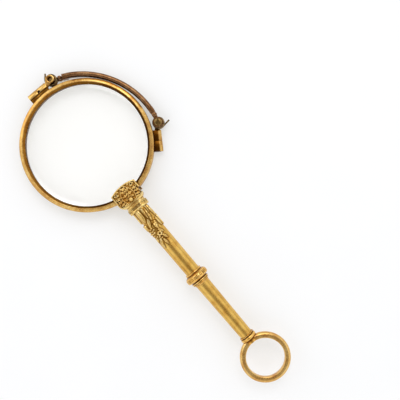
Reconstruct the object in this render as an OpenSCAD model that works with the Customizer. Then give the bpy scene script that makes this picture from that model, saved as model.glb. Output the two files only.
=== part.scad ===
// Folding lorgnette with a side hinged second eye, closed, lying on its back.
// Millimetres. The origin is the centre of the suspension ring, the handle runs
// along +Y to the eyes, and +Z is the carved front. Every station along the
// handle is first measured from the centre of the fixed lens.

/* [Eyes] */
// Clear opening of each rim
aperture_d = 35.6; // [32:0.1:40]
// Width of a rim's band, seen from the front
rim_width = 1.8; // [1.6:0.05:2.1]
// Height of a rim, front to back
rim_height = 1.9; // [1.8:0.05:2.1]
// Rounding of a rim's outer edges
rim_round = 0.6; // [0.3:0.05:0.8]
// Air between the two rims when they are folded together
eye_gap = 0.3; // [0.25:0.05:0.5]
// Saw cut that opens a rim for its lens
rim_cut = 0.25; // [0.15:0.05:0.4]

/* [Lenses] */
// Thickness of a lens at its centre
lens_thickness = 1.4; // [1.1:0.05:1.6]
// Thickness of a lens at its edge
lens_edge = 0.6; // [0.4:0.05:0.8]
// Depth of the groove that holds the lens edge
lens_seat = 0.4; // [0.3:0.05:0.5]

/* [Hinges] */
// From a rim's outside to its hinge pivot
hinge_offset = 2.3; // [2.2:0.05:2.8]
// Half the angle between the two hinges, seen from the lens centre
hinge_half_angle = 50.6; // [46:0.2:54]
// Direction of the bow's middle from the lens centre
bow_angle = 28.2; // [24:0.2:32]
// Outside diameter of a hinge tube
tube_d = 2.56; // [2.4:0.02:2.7]
// Length of a hinge tube, front to back
tube_length = 3.05; // [2.9:0.05:3.3]
// Thickness of the lug that carries the tube
lug_thickness = 0.7; // [0.5:0.05:0.8]
// Diameter of the hinge screw's shank
hinge_screw_d = 1.5; // [1.3:0.02:1.6]
// How far the open end of the tube stands empty
tube_hollow = 1.1; // [0.8:0.05:1.4]
// Radial play of the bow's eye on the screw
hinge_play = 0.05; // [0.03:0.01:0.08]
// End play of the bow's eye between tube and screw head
end_play = 0.06; // [0.04:0.01:0.1]
// Thickness of the bow's eye
eye_thickness = 0.85; // [0.7:0.05:1]
// Outside diameter of the bow's eye
eye_d = 3; // [2.8:0.05:3.2]
// Diameter of the hinge screw's head
screw_head_d = 2.4; // [2.1:0.05:2.7]
// Height of the hinge screw's head
screw_head_h = 0.45; // [0.35:0.05:0.6]
// Width of a screw slot
screw_slot = 0.35; // [0.25:0.05:0.45]

/* [Hinge springs] */
// Diameter of the spring wire
wire_d = 0.32; // [0.26:0.02:0.34]
// Air between the tube and the coil
coil_play = 0.12; // [0.08:0.02:0.16]
// Turns of each coil
coil_turns = 2.5; // [1.5:0.25:2.5]
// Free tail of the spring at the fixed eye
fixed_tail = 1.7; // [1.2:0.1:2]
// Free tail of the spring at the folding eye
folding_tail = 2.8; // [1.8:0.1:2.9]

/* [Bow] */
// Width of the bow, seen from the front
bow_width = 1.6; // [1.2:0.05:1.7]
// Height of the bow, front to back
bow_height = 2.4; // [2:0.05:2.8]
// Rounding of the bow's edges
bow_round = 0.5; // [0.3:0.05:0.55]
// Air between a rim and the middle of the bow
bow_gap = 0.3; // [0.25:0.05:0.5]
// From a pivot to the shoulder at the bow's end
shoulder_reach = 3.8; // [3.6:0.05:4.2]
// Length of the shoulder along the bow
shoulder_length = 1; // [0.8:0.05:1.4]

/* [Rim closing joints] */
// Half thickness of a joint block above the rim
block_r = 0.95; // [0.85:0.02:0.95]
// Length of the plain joint block
block_left = 3.1; // [2.6:0.1:3.6]
// Length of the joint block that carries the lug
block_right = 3.2; // [3:0.05:3.2]
// From the eye's centre line to the saw cut
cut_shift = 0.95; // [0.8:0.05:1.2]
// Diameter of the joint screw
joint_screw_d = 0.9; // [0.7:0.05:1]
// Diameter of the joint screw's head
joint_head_d = 1.3; // [1.2:0.05:1.4]
// Radial air round the joint screw in the plain block
joint_play = 0.03; // [0.02:0.01:0.06]

/* [Head] */
// Width of the head
head_w = 8.4; // [8:0.1:9]
// From the aperture's edge to the top of the head
head_overlap = 2; // [1.6:0.1:2.4]
// From the rim's outside to the bottom of the head
head_drop = 2.6; // [2.5:0.05:3]
// Thickness of the head, front to back
head_t = 4.35; // [4.2:0.05:4.6]
// Radius of the head's curved top edge
head_crown = 11.2; // [9:0.2:14]
// Radius of the head's lower corners
head_corner = 2.2; // [2:0.1:2.4]
// Thickness of the plate that closes the back of the head
back_plate_t = 0.85; // [0.8:0.05:0.95]

/* [Catch] */
// Width of the rocking catch lever
lever_w = 0.8; // [0.6:0.05:0.85]
// Side air of the lever in its pocket
lever_air = 0.15; // [0.12:0.01:0.2]
// Thickness of the catch lever
lever_t = 0.6; // [0.5:0.05:0.65]
// Diameter of the lever's pivot pin
pivot_d = 0.56; // [0.45:0.01:0.6]
// Radial play of the lever on its pin
pivot_play = 0.04; // [0.03:0.01:0.06]
// Diameter of the round release button
button_d = 1.3; // [1.1:0.05:1.4]
// Diameter of the button's stem
button_stem_d = 0.6; // [0.5:0.02:0.7]
// Radial play of the button's stem
button_play = 0.05; // [0.03:0.01:0.08]
// Button travel each way from its place at rest
button_travel = 0.3; // [0.2:0.05:0.3]
// Diameter of the stud that the catch holds
stud_d = 0.6; // [0.5:0.02:0.64]
// Air between stud top and catch nose at rest
catch_air = 0.15; // [0.12:0.01:0.2]

/* [Handle] */
// Width of the neck between head and collar
neck_w = 6; // [5.6:0.1:6.3]
// Length of the neck
neck_length = 0.5; // [0.4:0.05:0.8]
// Width of the collar with the key pattern
collar_w = 6.6; // [6.3:0.1:7]
// Length of the collar
collar_length = 1.7; // [1.5:0.1:2]
// Diameter of the upper stem at the collar
upper_d = 4.6; // [4.5:0.05:4.7]
// Diameter of the upper stem at the knop
upper_end_d = 4.4; // [4.2:0.05:4.5]
// Length of the upper stem
upper_length = 23.4; // [20:0.2:28]
// Thickness of the applied leaves on the upper stem
leaf_t = 0.5; // [0.3:0.05:0.6]
// From the collar to the tip of the longest leaf
leaf_drop = 13.2; // [10:0.2:16]
// Diameter of the knop's drum
knop_d = 7; // [6.4:0.1:7.4]
// Length of the knop
knop_length = 4.4; // [4.2:0.1:5]
// Diameter of the lower stem at the knop
lower_d = 4.3; // [4.1:0.05:4.5]
// Diameter of the lower stem at its end
lower_end_d = 3.8; // [3.6:0.05:4]
// Length of the lower stem
lower_length = 19.6; // [16:0.2:24]
// Wall of the stem tubes
stem_wall = 0.45; // [0.35:0.05:0.6]
// Radial fit of a spigot in its tube
spigot_fit = 0.02; // [0.01:0.01:0.04]
// Length of a spigot inside its tube
spigot_length = 2.4; // [1.6:0.1:3]
// Diameter of the bead at the end of the handle
end_d = 4.9; // [4.6:0.1:5.2]
// Length of that bead
end_length = 1.7; // [1.5:0.1:2]

/* [Suspension ring] */
// Clear bore of the suspension ring
ring_bore_d = 11.3; // [10:0.1:13]
// Outside diameter of the suspension ring
ring_outer_d = 14.8; // [14:0.1:16]
// Width of the suspension ring along its bore
ring_width = 1.9; // [1.6:0.05:2.1]
// How far the ring is let into the handle's end
ring_let_in = 0.5; // [0.3:0.05:0.8]

/* [Hidden] */
$fn = 96;
gold = [0.80, 0.62, 0.25];
red_gold = [0.66, 0.44, 0.22];
steel = [0.45, 0.44, 0.42];
clear_glass = [0.80, 0.88, 0.90, 0.35];

// The stack of the two eyes
open_r = aperture_d / 2;
rim_r = open_r + rim_width;
rim_top = rim_height / 2;
fold_mid = -(rim_height + eye_gap) / 2;

// The hinge at the fixed eye, and what stands on its axis from front to back
hinge_reach = rim_r + hinge_offset;
hinge_dir = bow_angle + hinge_half_angle;
hinge_x = hinge_reach * cos(hinge_dir);
hinge_y = hinge_reach * sin(hinge_dir);
lug_top = rim_top - 0.08;
lug_under = lug_top - lug_thickness;
tube_foot = rim_top - tube_length;
eye_top = tube_foot - end_play;
eye_foot = eye_top - eye_thickness;
head_top_z = eye_foot - end_play;
head_foot_z = head_top_z - screw_head_h;

// The coil round the tube
coil_r = tube_d / 2 + coil_play + wire_d / 2;
coil_end_air = 0.05;
coil_top = lug_under - coil_end_air - wire_d / 2;
coil_low = tube_foot + coil_end_air + wire_d / 2;
coil_pitch = (coil_top - coil_low) / coil_turns;
tail_dir = 49.5;

// The bow's arc runs through both pivots and past the rims at bow_gap
bow_near = rim_r + bow_gap + bow_width / 2;
bow_back = (pow(hinge_reach, 2) - pow(bow_near, 2))
    / (2 * (bow_near - hinge_reach * cos(hinge_half_angle)));
bow_r = bow_near + bow_back;
pivot_sweep = atan2(hinge_reach * sin(hinge_half_angle),
    hinge_reach * cos(hinge_half_angle) + bow_back);
shoulder_sweep = pivot_sweep - 2 * asin(shoulder_reach / 2 / bow_r);
shoulder_turn = 2 * asin(shoulder_length / 2 / bow_r);

// The rim's closing joint
block_y = rim_r + block_r;
block_root = rim_r - 0.4 * rim_width;
block_end = block_right - cut_shift;
joint_head_l = 0.6;
notch_r = 0.3;

// The head and the catch inside it
head_under = -rim_top;
head_front_z = head_under + head_t;
head_top_y = -(open_r - head_overlap);
head_low_y = -(rim_r + head_drop);
plate_top = head_under + back_plate_t;
pocket_wall = 0.5;
pocket_w = lever_w + 2 * lever_air;
pocket_y = -(rim_r + pocket_wall + pocket_w / 2);
pocket_left = -1.8;
pocket_top = 2.3;
pivot_x = 1.3;
pivot_z = 0.9;
boss_r = pivot_d / 2 + pivot_play + 0.3;
nose_x = 2.9;
nose_w = 0.6;
stud_x = 1.9;
stud_top = -0.45;
lever_left = -0.9;
button_x = 0;
button_z = head_front_z + 0.2;
recess_depth = 0.8;
recess_air = 0.15;
lens_room = lens_thickness / 2 + 0.15;
flange_r = 0.5;
flange_t = 0.2;
tip_air = 0.15;

// Stations along the handle, and its axis height
handle_z = head_under + upper_d / 2;
neck_top = rim_r + head_drop;
collar_top = neck_top + neck_length;
upper_top = collar_top + collar_length;
knop_top = upper_top + upper_length;
lower_top = knop_top + knop_length;
end_top = lower_top + lower_length;
end_low = end_top + end_length;
ring_y = -(end_low - ring_let_in + ring_outer_d / 2);
upper_bore = upper_end_d / 2 - stem_wall;
lower_bore = lower_end_d / 2 - stem_wall;
throat_r = 1.6;
throat_set_back = 0.25;
leaf_lift = 0.3;

// Moves a piece from the lens centre's frame to the part's frame
module in_frame() {
    translate([0, -ring_y, -handle_z])
        children();
}

// Turns a piece of the fixed eye over into its place on the folding eye
module turned_over() {
    translate([0, 0, fold_mid])
        rotate([180, 0, 2 * bow_angle])
            translate([0, 0, -fold_mid])
                children();
}

// Moves to the pivot of the fixed eye
module at_hinge() {
    translate([hinge_x, hinge_y, 0])
        children();
}

// Turns a profile drawn as [radius, station] round the handle's axis
module lathe(points) {
    translate([0, 0, handle_z])
        rotate([90, 0, 0])
            rotate_extrude()
                polygon(points);
}

// Rectangle with round corners, centred
module soft_rectangle(w, h, r) {
    square([w - 2 * r, h], center = true);
    square([w, h - 2 * r], center = true);
    for (x = [-1, 1], y = [-1, 1])
        translate([x * (w / 2 - r), y * (h / 2 - r)])
            circle(r);
}

// Oval of two half circles joined by straights, run along the handle
module oval_band(w, t, start, length) {
    translate([0, -start, handle_z])
        rotate([90, 0, 0])
            linear_extrude(length) {
                square([w - t, t], center = true);
                for (x = [-1, 1])
                    translate([x * (w - t) / 2, 0])
                        circle(t / 2);
            }
}

// Solid ring of the rim's section, without groove or saw cut
module rim_ring() {
    rotate_extrude() {
        translate([(rim_r + open_r) / 2, 0])
            soft_rectangle(rim_r - open_r, rim_height, rim_round);
        translate([open_r, -rim_top])
            square([(rim_r - open_r) / 2, rim_height]);
    }
}

// Rim with its lens groove, sawn through at the closing joint
module rim_piece() {
    difference() {
        rim_ring();
        cylinder(h = lens_edge, r = open_r + lens_seat, center = true);
        translate([-cut_shift - rim_cut / 2, 0, -rim_height])
            cube([rim_cut, rim_r + 1, 2 * rim_height]);
    }
}

// Height of a lens's dome above its middle plane, at radius r
function dome(r) = let (
        bulge = (lens_thickness - lens_edge) / 2,
        dome_r = (pow(open_r, 2) + pow(bulge, 2)) / (2 * bulge))
    lens_thickness / 2 - dome_r + sqrt(pow(dome_r, 2) - pow(r, 2));

// Glass: two shallow domes, with an edge that sits in the rim's groove
module lens_piece() {
    steps = 10;
    rotate_extrude()
        polygon([
            for (i = [0 : steps]) [open_r * i / steps, dome(open_r * i / steps)],
            [open_r + lens_seat, lens_edge / 2],
            [open_r + lens_seat, -lens_edge / 2],
            for (i = [steps : -1 : 0]) [open_r * i / steps, -dome(open_r * i / steps)]]);
}

// Bar lying on the rim from x0 to x1, rounded on its outer side
module joint_bar(x0, x1) {
    translate([x0, block_y, 0])
        rotate([0, 90, 0])
            cylinder(h = x1 - x0, r = block_r);
    translate([x0, block_root, -block_r])
        cube([x1 - x0, block_y - block_root, 2 * block_r]);
}

// Hole along the joint, for the joint screw
module joint_hole(x0, x1, r) {
    translate([x0, block_y, 0])
        rotate([0, 90, 0])
            cylinder(h = x1 - x0, r = r);
}

// Small round notch that shows at the saw cut
module joint_notch() {
    translate([-cut_shift, block_y + 0.1, block_r - 0.45])
        cylinder(h = 1, r = notch_r);
}

// Plain half of the closing joint, with the screw head's counterbore
module joint_left_piece() {
    x0 = -cut_shift - block_left;
    x1 = -cut_shift - rim_cut / 2;
    difference() {
        joint_bar(x0, x1);
        rim_ring();
        joint_hole(x0 - 1, x1 + 1, joint_screw_d / 2 + joint_play);
        joint_hole(x0 - 1, x0 + joint_head_l, joint_head_d / 2 + joint_play);
        joint_notch();
    }
}

// Threaded half of the joint, with the lug and tube of the hinge
module joint_right_piece() {
    x0 = -cut_shift + rim_cut / 2;
    tube_r = tube_d / 2;
    grip = 0.85 * tube_r;
    lean = atan2(hinge_y - block_y, hinge_x - block_end);
    difference() {
        union() {
            joint_bar(x0, block_end);
            translate([0, 0, lug_under])
                linear_extrude(lug_thickness)
                    polygon([
                        [block_end - 0.8, block_y - 0.7 * block_r],
                        [hinge_x + grip * sin(lean), hinge_y - grip * cos(lean)],
                        [hinge_x - grip * sin(lean), hinge_y + grip * cos(lean)],
                        [block_end - 0.8, block_y + 0.7 * block_r]]);
            at_hinge()
                translate([0, 0, tube_foot])
                    cylinder(h = tube_length, r = tube_r);
        }
        rim_ring();
        joint_hole(x0 - 1, block_end - 0.5, joint_screw_d / 2);
        joint_notch();
        at_hinge()
            translate([0, 0, tube_foot - 1])
                cylinder(h = tube_length + 2, r = hinge_screw_d / 2);
    }
}

// Screw that closes the rim round its lens
module joint_screw_piece() {
    x0 = -cut_shift - block_left;
    difference() {
        union() {
            joint_hole(x0 + 0.1, x0 + joint_head_l, joint_head_d / 2);
            joint_hole(x0 + 0.2, block_end - 0.6, joint_screw_d / 2);
        }
        translate([x0, block_y - 1, -0.12])
            cube([0.3, 2, 0.24]);
    }
}

// Hinge screw from the bow's side, short of the tube's open end
module hinge_screw_piece() {
    at_hinge()
        difference() {
            union() {
                translate([0, 0, head_foot_z])
                    cylinder(h = screw_head_h, d = screw_head_d);
                translate([0, 0, head_foot_z])
                    cylinder(h = rim_top - tube_hollow - head_foot_z, d = hinge_screw_d);
            }
            translate([0, 0, head_foot_z])
                rotate([0, 0, hinge_dir])
                    cube([screw_head_d + 1, screw_slot, screw_head_h], center = true);
        }
}

// Centre line of a hinge spring: the coil's turns, then its straight tail
curl_rings = 8;
wire_sides = 6;
function coil_point(i) = let (
        t = i / curl_rings,
        a = tail_dir + 90 + 360 * (coil_turns - t))
    [coil_r * cos(a), coil_r * sin(a), coil_low + coil_pitch * t];
function spring_path(tail) = let (
        n = ceil(coil_turns * curl_rings),
        last = coil_point(coil_turns * curl_rings))
    concat(
        [for (i = [0 : n - 1]) coil_point(i)],
        [last, last + tail * [cos(tail_dir), sin(tail_dir), 0]]);

// Direction of a path at one of its points
function along(path, i) = let (
        a = path[max(i - 1, 0)],
        b = path[min(i + 1, len(path) - 1)])
    (b - a) / norm(b - a);

// One six sided ring of the wire, square to the path
function wire_ring(p, d) = let (
        side = cross(d, [0, 0, 1]) / norm(cross(d, [0, 0, 1])),
        up = cross(side, d))
    [for (k = [0 : wire_sides - 1])
        p + wire_d / 2 * (cos(360 * k / wire_sides) * side + sin(360 * k / wire_sides) * up)];

// One unbroken wire along a path, capped at both ends
module wire(path) {
    n = len(path);
    m = wire_sides;
    rings = [for (i = [0 : n - 1]) wire_ring(path[i], along(path, i))];
    points = [for (ring = rings) for (p = ring) p];
    walls = [for (i = [0 : n - 2], k = [0 : m - 1], half = [0, 1])
        half == 0
            ? [i * m + k, i * m + (k + 1) % m, (i + 1) * m + k]
            : [i * m + (k + 1) % m, (i + 1) * m + (k + 1) % m, (i + 1) * m + k]];
    caps = [for (k = [1 : m - 2], last = [0, 1])
        last == 0
            ? [0, k + 1, k]
            : [(n - 1) * m, (n - 1) * m + k, (n - 1) * m + k + 1]];
    polyhedron(points = points, faces = concat(walls, caps));
}

// Least air between turns of one wire, on points at least half a turn apart
function least_gap(path) = min([for (i = [0 : len(path) - 1])
    for (j = [i + curl_rings / 2 : 1 : len(path) - 1])
        norm(path[i] - path[j]) - wire_d]);
echo(spring_least_gap_mm = least_gap(spring_path(folding_tail)));

module hinge_spring_piece(tail) {
    at_hinge()
        wire(spring_path(tail));
}

// Sweeps a section along the bow's arc, from angle a0 to a1 off the bow's middle
module bow_arc(a0, a1) {
    rotate([0, 0, bow_angle])
        translate([-bow_back, 0, 0])
            rotate([0, 0, a0])
                rotate_extrude(angle = a1 - a0)
                    translate([bow_r, 0])
                        children();
}

// Shoulder, neck and eye at the bow's end by the fixed eye
module bow_end_piece() {
    shoulder_top = fold_mid + bow_height / 2 - bow_round;
    difference() {
        union() {
            bow_arc(shoulder_sweep - shoulder_turn, shoulder_sweep)
                translate([0, (eye_foot + shoulder_top) / 2])
                    soft_rectangle(bow_width, shoulder_top - eye_foot, 0.2);
            bow_arc(shoulder_sweep - shoulder_turn / 2, pivot_sweep)
                translate([0, (eye_foot + eye_top) / 2])
                    square([bow_width - 0.3, eye_thickness - 0.1], center = true);
            at_hinge()
                translate([0, 0, eye_foot])
                    cylinder(h = eye_thickness, d = eye_d);
        }
        at_hinge()
            translate([0, 0, eye_foot - 1])
                cylinder(h = eye_thickness + 2, r = hinge_screw_d / 2 + hinge_play);
    }
}

// Outline of the head, seen from the front
module head_outline() {
    intersection() {
        translate([0, head_top_y - head_crown])
            circle(head_crown);
        union() {
            translate([-head_w / 2, head_low_y + head_corner])
                square([head_w, head_top_y - head_low_y]);
            translate([-head_w / 2 + head_corner, head_low_y])
                square([head_w - 2 * head_corner, head_corner]);
            for (x = [-1, 1])
                translate([x * (head_w / 2 - head_corner), head_low_y + head_corner])
                    circle(head_corner);
        }
    }
}

// Outline of the applied leaves from the front: four tips hang below the collar
module leaf_outline() {
    base = 0.32 * leaf_drop;
    tips = leaf_drop * [0.73, 1, 0.79, 0.56];
    step = upper_d / 4 + leaf_t / 2 + 0.1;
    polygon(concat(
        [[2 * step, 1 - upper_top], [-2 * step, 1 - upper_top]],
        [for (i = [0 : 3], u = [0 : 0.125 : 0.875])
            [step * (i - 2 + u), -upper_top - base - (tips[i] - base) * sin(180 * u)]],
        [[2 * step, -upper_top - base]]));
}

module head_front() {
    color(gold)
        in_frame()
            difference() {
                translate([0, 0, plate_top])
                    linear_extrude(head_t - back_plate_t)
                        head_outline();
                translate([0, 0, lens_room - 2 * rim_height])
                    cylinder(h = 2 * rim_height, r = open_r + rim_width / 6);
                rim_ring();
                translate([pocket_left, pocket_y - pocket_w / 2, plate_top - 1])
                    cube([head_w, pocket_w, pocket_top - plate_top + 1]);
                translate([button_x, pocket_y, 0]) {
                    cylinder(h = 2 * head_t, r = button_stem_d / 2 + button_play);
                    translate([0, 0, head_front_z - recess_depth])
                        cylinder(h = head_t, r = button_d / 2 + recess_air);
                }
                translate([pivot_x, 0, pivot_z])
                    rotate([90, 0, 0])
                        translate([0, 0, rim_r + 0.2])
                            cylinder(h = head_drop, d = pivot_d);
            }
}

// Way out for the stud as the folding eye starts to swing
module stud_way() {
    way = stud_d / 2 + 0.3;
    translate([0, 0, head_under - 1])
        linear_extrude(back_plate_t + 2)
            polygon([
                [stud_x - way, pocket_y + pocket_w / 2],
                [head_w, pocket_y + pocket_w / 2],
                [head_w, pocket_y - pocket_w / 2 - 3.2],
                [stud_x - way, pocket_y - way]]);
}

module head_back() {
    color(gold)
        in_frame()
            difference() {
                translate([0, 0, head_under])
                    linear_extrude(back_plate_t)
                        head_outline();
                rim_ring();
                cylinder(h = 2 * rim_height, r = rim_r - 0.3, center = true);
                stud_way();
            }
}

module neck_collar() {
    color(gold)
        in_frame() {
            oval_band(neck_w, upper_d - 0.5, neck_top, neck_length);
            difference() {
                oval_band(collar_w, upper_d, collar_top, collar_length);
                for (s = [0.3, 0.7])
                    difference() {
                        oval_band(collar_w + 1, upper_d + 1, collar_top + s * collar_length - 0.07, 0.14);
                        oval_band(collar_w - 0.2, upper_d - 0.2, collar_top, collar_length);
                    }
            }
            lathe([
                [0, upper_top],
                [upper_bore - spigot_fit, upper_top],
                [upper_bore - spigot_fit, upper_top + spigot_length],
                [0, upper_top + spigot_length]]);
        }
}

module upper_stem() {
    color(gold)
        in_frame()
            lathe([
                [upper_bore, upper_top],
                [upper_d / 2, upper_top],
                [upper_end_d / 2, knop_top],
                [upper_bore, knop_top]]);
}

module leaf_relief() {
    color(gold)
        in_frame()
            intersection() {
                lathe([
                    [upper_d / 2, upper_top],
                    [upper_d / 2 + leaf_t, upper_top],
                    [upper_end_d / 2 + leaf_t, knop_top],
                    [upper_end_d / 2, knop_top]]);
                translate([0, 0, handle_z + leaf_lift])
                    linear_extrude(upper_d)
                        leaf_outline();
            }
}

module middle_knop() {
    bead = 0.62;
    color(gold)
        in_frame()
            lathe([
                [0, knop_top - spigot_length],
                [upper_bore - spigot_fit, knop_top - spigot_length],
                [upper_bore - spigot_fit, knop_top],
                [upper_end_d / 2 + 0.4, knop_top],
                [upper_end_d / 2 + 0.4, knop_top + bead],
                [upper_end_d / 2 + 0.1, knop_top + bead + 0.1],
                [knop_d / 2 - 0.25, knop_top + bead + 0.65],
                [knop_d / 2, knop_top + bead + 0.9],
                [knop_d / 2, knop_top + bead + 1.75],
                [knop_d / 2 - 0.25, knop_top + bead + 2],
                [lower_d / 2 + 0.25, knop_top + bead + 2.3],
                [lower_d / 2 + 0.25, knop_top + bead + 2.45],
                [lower_d / 2 + 0.55, knop_top + bead + 2.5],
                [lower_d / 2 + 0.55, lower_top - 0.6],
                [lower_d / 2 + 0.25, lower_top - 0.55],
                [lower_d / 2 + 0.25, lower_top],
                [lower_bore - spigot_fit, lower_top],
                [lower_bore - spigot_fit, lower_top + spigot_length],
                [0, lower_top + spigot_length]]);
}

module lower_stem() {
    color(gold)
        in_frame()
            lathe([
                [lower_bore, lower_top],
                [lower_d / 2, lower_top],
                [lower_end_d / 2, end_top],
                [lower_bore, end_top]]);
}

// Solid of the suspension ring, round outside and straight in the bore
module ring_solid() {
    translate([0, ring_y, handle_z])
        rotate_extrude() {
            translate([ring_outer_d / 2 - ring_width / 2, 0])
                circle(d = ring_width);
            translate([ring_bore_d / 2, -ring_width / 2])
                square([(ring_outer_d - ring_bore_d - ring_width) / 2, ring_width]);
        }
}

module end_collar() {
    edge = 0.5;
    color(gold)
        in_frame()
            difference() {
                lathe([
                    [0, end_top - spigot_length],
                    [lower_bore - spigot_fit, end_top - spigot_length],
                    [lower_bore - spigot_fit, end_top],
                    [end_d / 2 - edge, end_top],
                    for (a = [0 : 15 : 90])
                        [end_d / 2 - edge + edge * sin(a), end_top + edge - edge * cos(a)],
                    for (a = [0 : 15 : 90])
                        [end_d / 2 - edge + edge * cos(a), end_low - edge + edge * sin(a)],
                    [throat_r, end_low],
                    [throat_r, -ring_y - ring_bore_d / 2],
                    [0, -ring_y - ring_bore_d / 2]]);
                ring_solid();
                translate([0, ring_y, handle_z - end_d])
                    cylinder(h = 2 * end_d, r = ring_bore_d / 2 + throat_set_back);
            }
}

module suspension_ring() {
    color(gold)
        in_frame()
            ring_solid();
}

module fixed_rim() {
    color(gold)
        in_frame()
            rim_piece();
}

module fixed_lens() {
    color(clear_glass)
        in_frame()
            lens_piece();
}

module fixed_joint_left() {
    color(gold)
        in_frame()
            joint_left_piece();
}

module fixed_joint_right() {
    color(gold)
        in_frame()
            joint_right_piece();
}

module fixed_joint_screw() {
    color(steel)
        in_frame()
            joint_screw_piece();
}

module fixed_hinge_screw() {
    color(gold)
        in_frame()
            hinge_screw_piece();
}

module fixed_hinge_spring() {
    color(steel)
        in_frame()
            hinge_spring_piece(fixed_tail);
}

module bow_bar() {
    sweep = shoulder_sweep - shoulder_turn;
    color(red_gold)
        in_frame()
            bow_arc(-sweep, sweep)
                translate([0, fold_mid])
                    soft_rectangle(bow_width, bow_height, bow_round);
}

module bow_end_upper() {
    color(red_gold)
        in_frame()
            bow_end_piece();
}

module bow_end_lower() {
    color(red_gold)
        in_frame()
            turned_over()
                bow_end_piece();
}

module folding_rim() {
    color(gold)
        in_frame()
            turned_over()
                rim_piece();
}

module folding_lens() {
    color(clear_glass)
        in_frame()
            turned_over()
                lens_piece();
}

module folding_joint_left() {
    color(gold)
        in_frame()
            turned_over()
                joint_left_piece();
}

module folding_joint_right() {
    color(gold)
        in_frame()
            turned_over()
                joint_right_piece();
}

module folding_joint_screw() {
    color(steel)
        in_frame()
            turned_over()
                joint_screw_piece();
}

module folding_hinge_screw() {
    color(gold)
        in_frame()
            turned_over()
                hinge_screw_piece();
}

module folding_hinge_spring() {
    color(steel)
        in_frame()
            turned_over()
                hinge_spring_piece(folding_tail);
}

module catch_stud() {
    rim_level = 2 * fold_mid;
    color(gold)
        in_frame()
            difference() {
                union() {
                    translate([stud_x, pocket_y, rim_level - 0.6])
                        cylinder(h = stud_top - rim_level + 0.6, d = stud_d);
                    translate([stud_x - 0.45, pocket_y, rim_level - 0.6])
                        cube([0.9, -pocket_y - rim_r + 0.6, 1.2]);
                }
                translate([0, 0, rim_level])
                    rim_ring();
            }
}

module release_button() {
    color(gold)
        in_frame()
            translate([button_x, pocket_y, 0]) {
                translate([0, 0, button_z])
                    sphere(d = button_d);
                translate([0, 0, pivot_z + lever_t / 2 + tip_air])
                    cylinder(h = 1, r = button_stem_d / 2 - 0.05);
                translate([0, 0, pocket_top - button_travel - flange_t - 0.05])
                    cylinder(h = flange_t, r = flange_r);
                translate([0, 0, pocket_top - button_travel - 0.06])
                    cylinder(h = button_z - pocket_top + button_travel, d = button_stem_d);
            }
}

module catch_lever() {
    nose_foot = stud_top + catch_air;
    color(gold)
        in_frame()
            translate([0, pocket_y + lever_w / 2, 0])
                rotate([90, 0, 0])
                    linear_extrude(lever_w)
                        difference() {
                            union() {
                                translate([lever_left, pivot_z - lever_t / 2])
                                    square([nose_x + nose_w - lever_left, lever_t]);
                                translate([nose_x, nose_foot])
                                    square([nose_w, pivot_z - nose_foot]);
                                translate([pivot_x, pivot_z])
                                    circle(boss_r);
                            }
                            translate([pivot_x, pivot_z])
                                circle(pivot_d / 2 + pivot_play);
                        }
}

module catch_pivot_pin() {
    color(steel)
        in_frame()
            translate([pivot_x, -rim_r - 0.2, pivot_z])
                rotate([90, 0, 0])
                    cylinder(h = head_drop - 0.3, d = pivot_d);
}

module catch_spring() {
    color(steel)
        in_frame()
            translate([0, pocket_y + lever_w / 2, 0])
                rotate([90, 0, 0])
                    linear_extrude(lever_w)
                        polygon([
                            [pocket_left, plate_top],
                            [-0.9, plate_top],
                            [-0.1, plate_top + 0.16],
                            [-0.1, plate_top + 0.31],
                            [-0.95, plate_top + 0.15],
                            [pocket_left, plate_top + 0.15]]);
}

head_front();
head_back();
neck_collar();
upper_stem();
leaf_relief();
middle_knop();
lower_stem();
end_collar();
suspension_ring();
fixed_rim();
fixed_lens();
fixed_joint_left();
fixed_joint_right();
fixed_joint_screw();
fixed_hinge_screw();
fixed_hinge_spring();
bow_bar();
bow_end_upper();
bow_end_lower();
folding_rim();
folding_lens();
folding_joint_left();
folding_joint_right();
folding_joint_screw();
folding_hinge_screw();
folding_hinge_spring();
catch_stud();
release_button();
catch_lever();
catch_pivot_pin();
catch_spring();
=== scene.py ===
import math

import bmesh
import bpy
import numpy as np
from mathutils import Matrix, Vector


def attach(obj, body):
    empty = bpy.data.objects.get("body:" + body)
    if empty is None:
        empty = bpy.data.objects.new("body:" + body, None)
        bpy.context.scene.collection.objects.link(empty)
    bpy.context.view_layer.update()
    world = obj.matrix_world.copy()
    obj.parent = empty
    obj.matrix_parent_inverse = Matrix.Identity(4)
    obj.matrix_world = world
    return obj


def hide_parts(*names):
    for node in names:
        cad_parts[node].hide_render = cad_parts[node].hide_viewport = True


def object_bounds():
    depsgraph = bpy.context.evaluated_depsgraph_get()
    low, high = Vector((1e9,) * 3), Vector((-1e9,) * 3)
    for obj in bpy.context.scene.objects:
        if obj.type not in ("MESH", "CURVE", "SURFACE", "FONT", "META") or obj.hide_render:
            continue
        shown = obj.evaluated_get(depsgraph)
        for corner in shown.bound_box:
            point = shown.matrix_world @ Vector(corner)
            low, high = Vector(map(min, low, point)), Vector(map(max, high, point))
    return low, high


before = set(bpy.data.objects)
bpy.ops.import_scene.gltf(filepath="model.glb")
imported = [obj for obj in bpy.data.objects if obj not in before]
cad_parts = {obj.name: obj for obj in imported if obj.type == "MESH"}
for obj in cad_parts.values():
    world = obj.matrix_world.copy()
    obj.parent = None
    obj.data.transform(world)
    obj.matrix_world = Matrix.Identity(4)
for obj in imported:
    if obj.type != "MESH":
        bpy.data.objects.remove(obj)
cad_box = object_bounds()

# The two rims are flat drawn gold wire, crowned in front and grooved inside for the lens.
# Each is bent round to a ring that stays open at a fine saw cut, so that a screw can draw it
# shut on its lens. The folding rim is the same piece turned over and laid behind the fixed one.
MM = 0.001             # metres
LENS_STATION = 80.4    # mm from the suspension ring's centre to the fixed lens's centre
HANDLE_AXIS = 1.35     # mm from the fixed rim's middle plane up to the handle's axis
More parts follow.
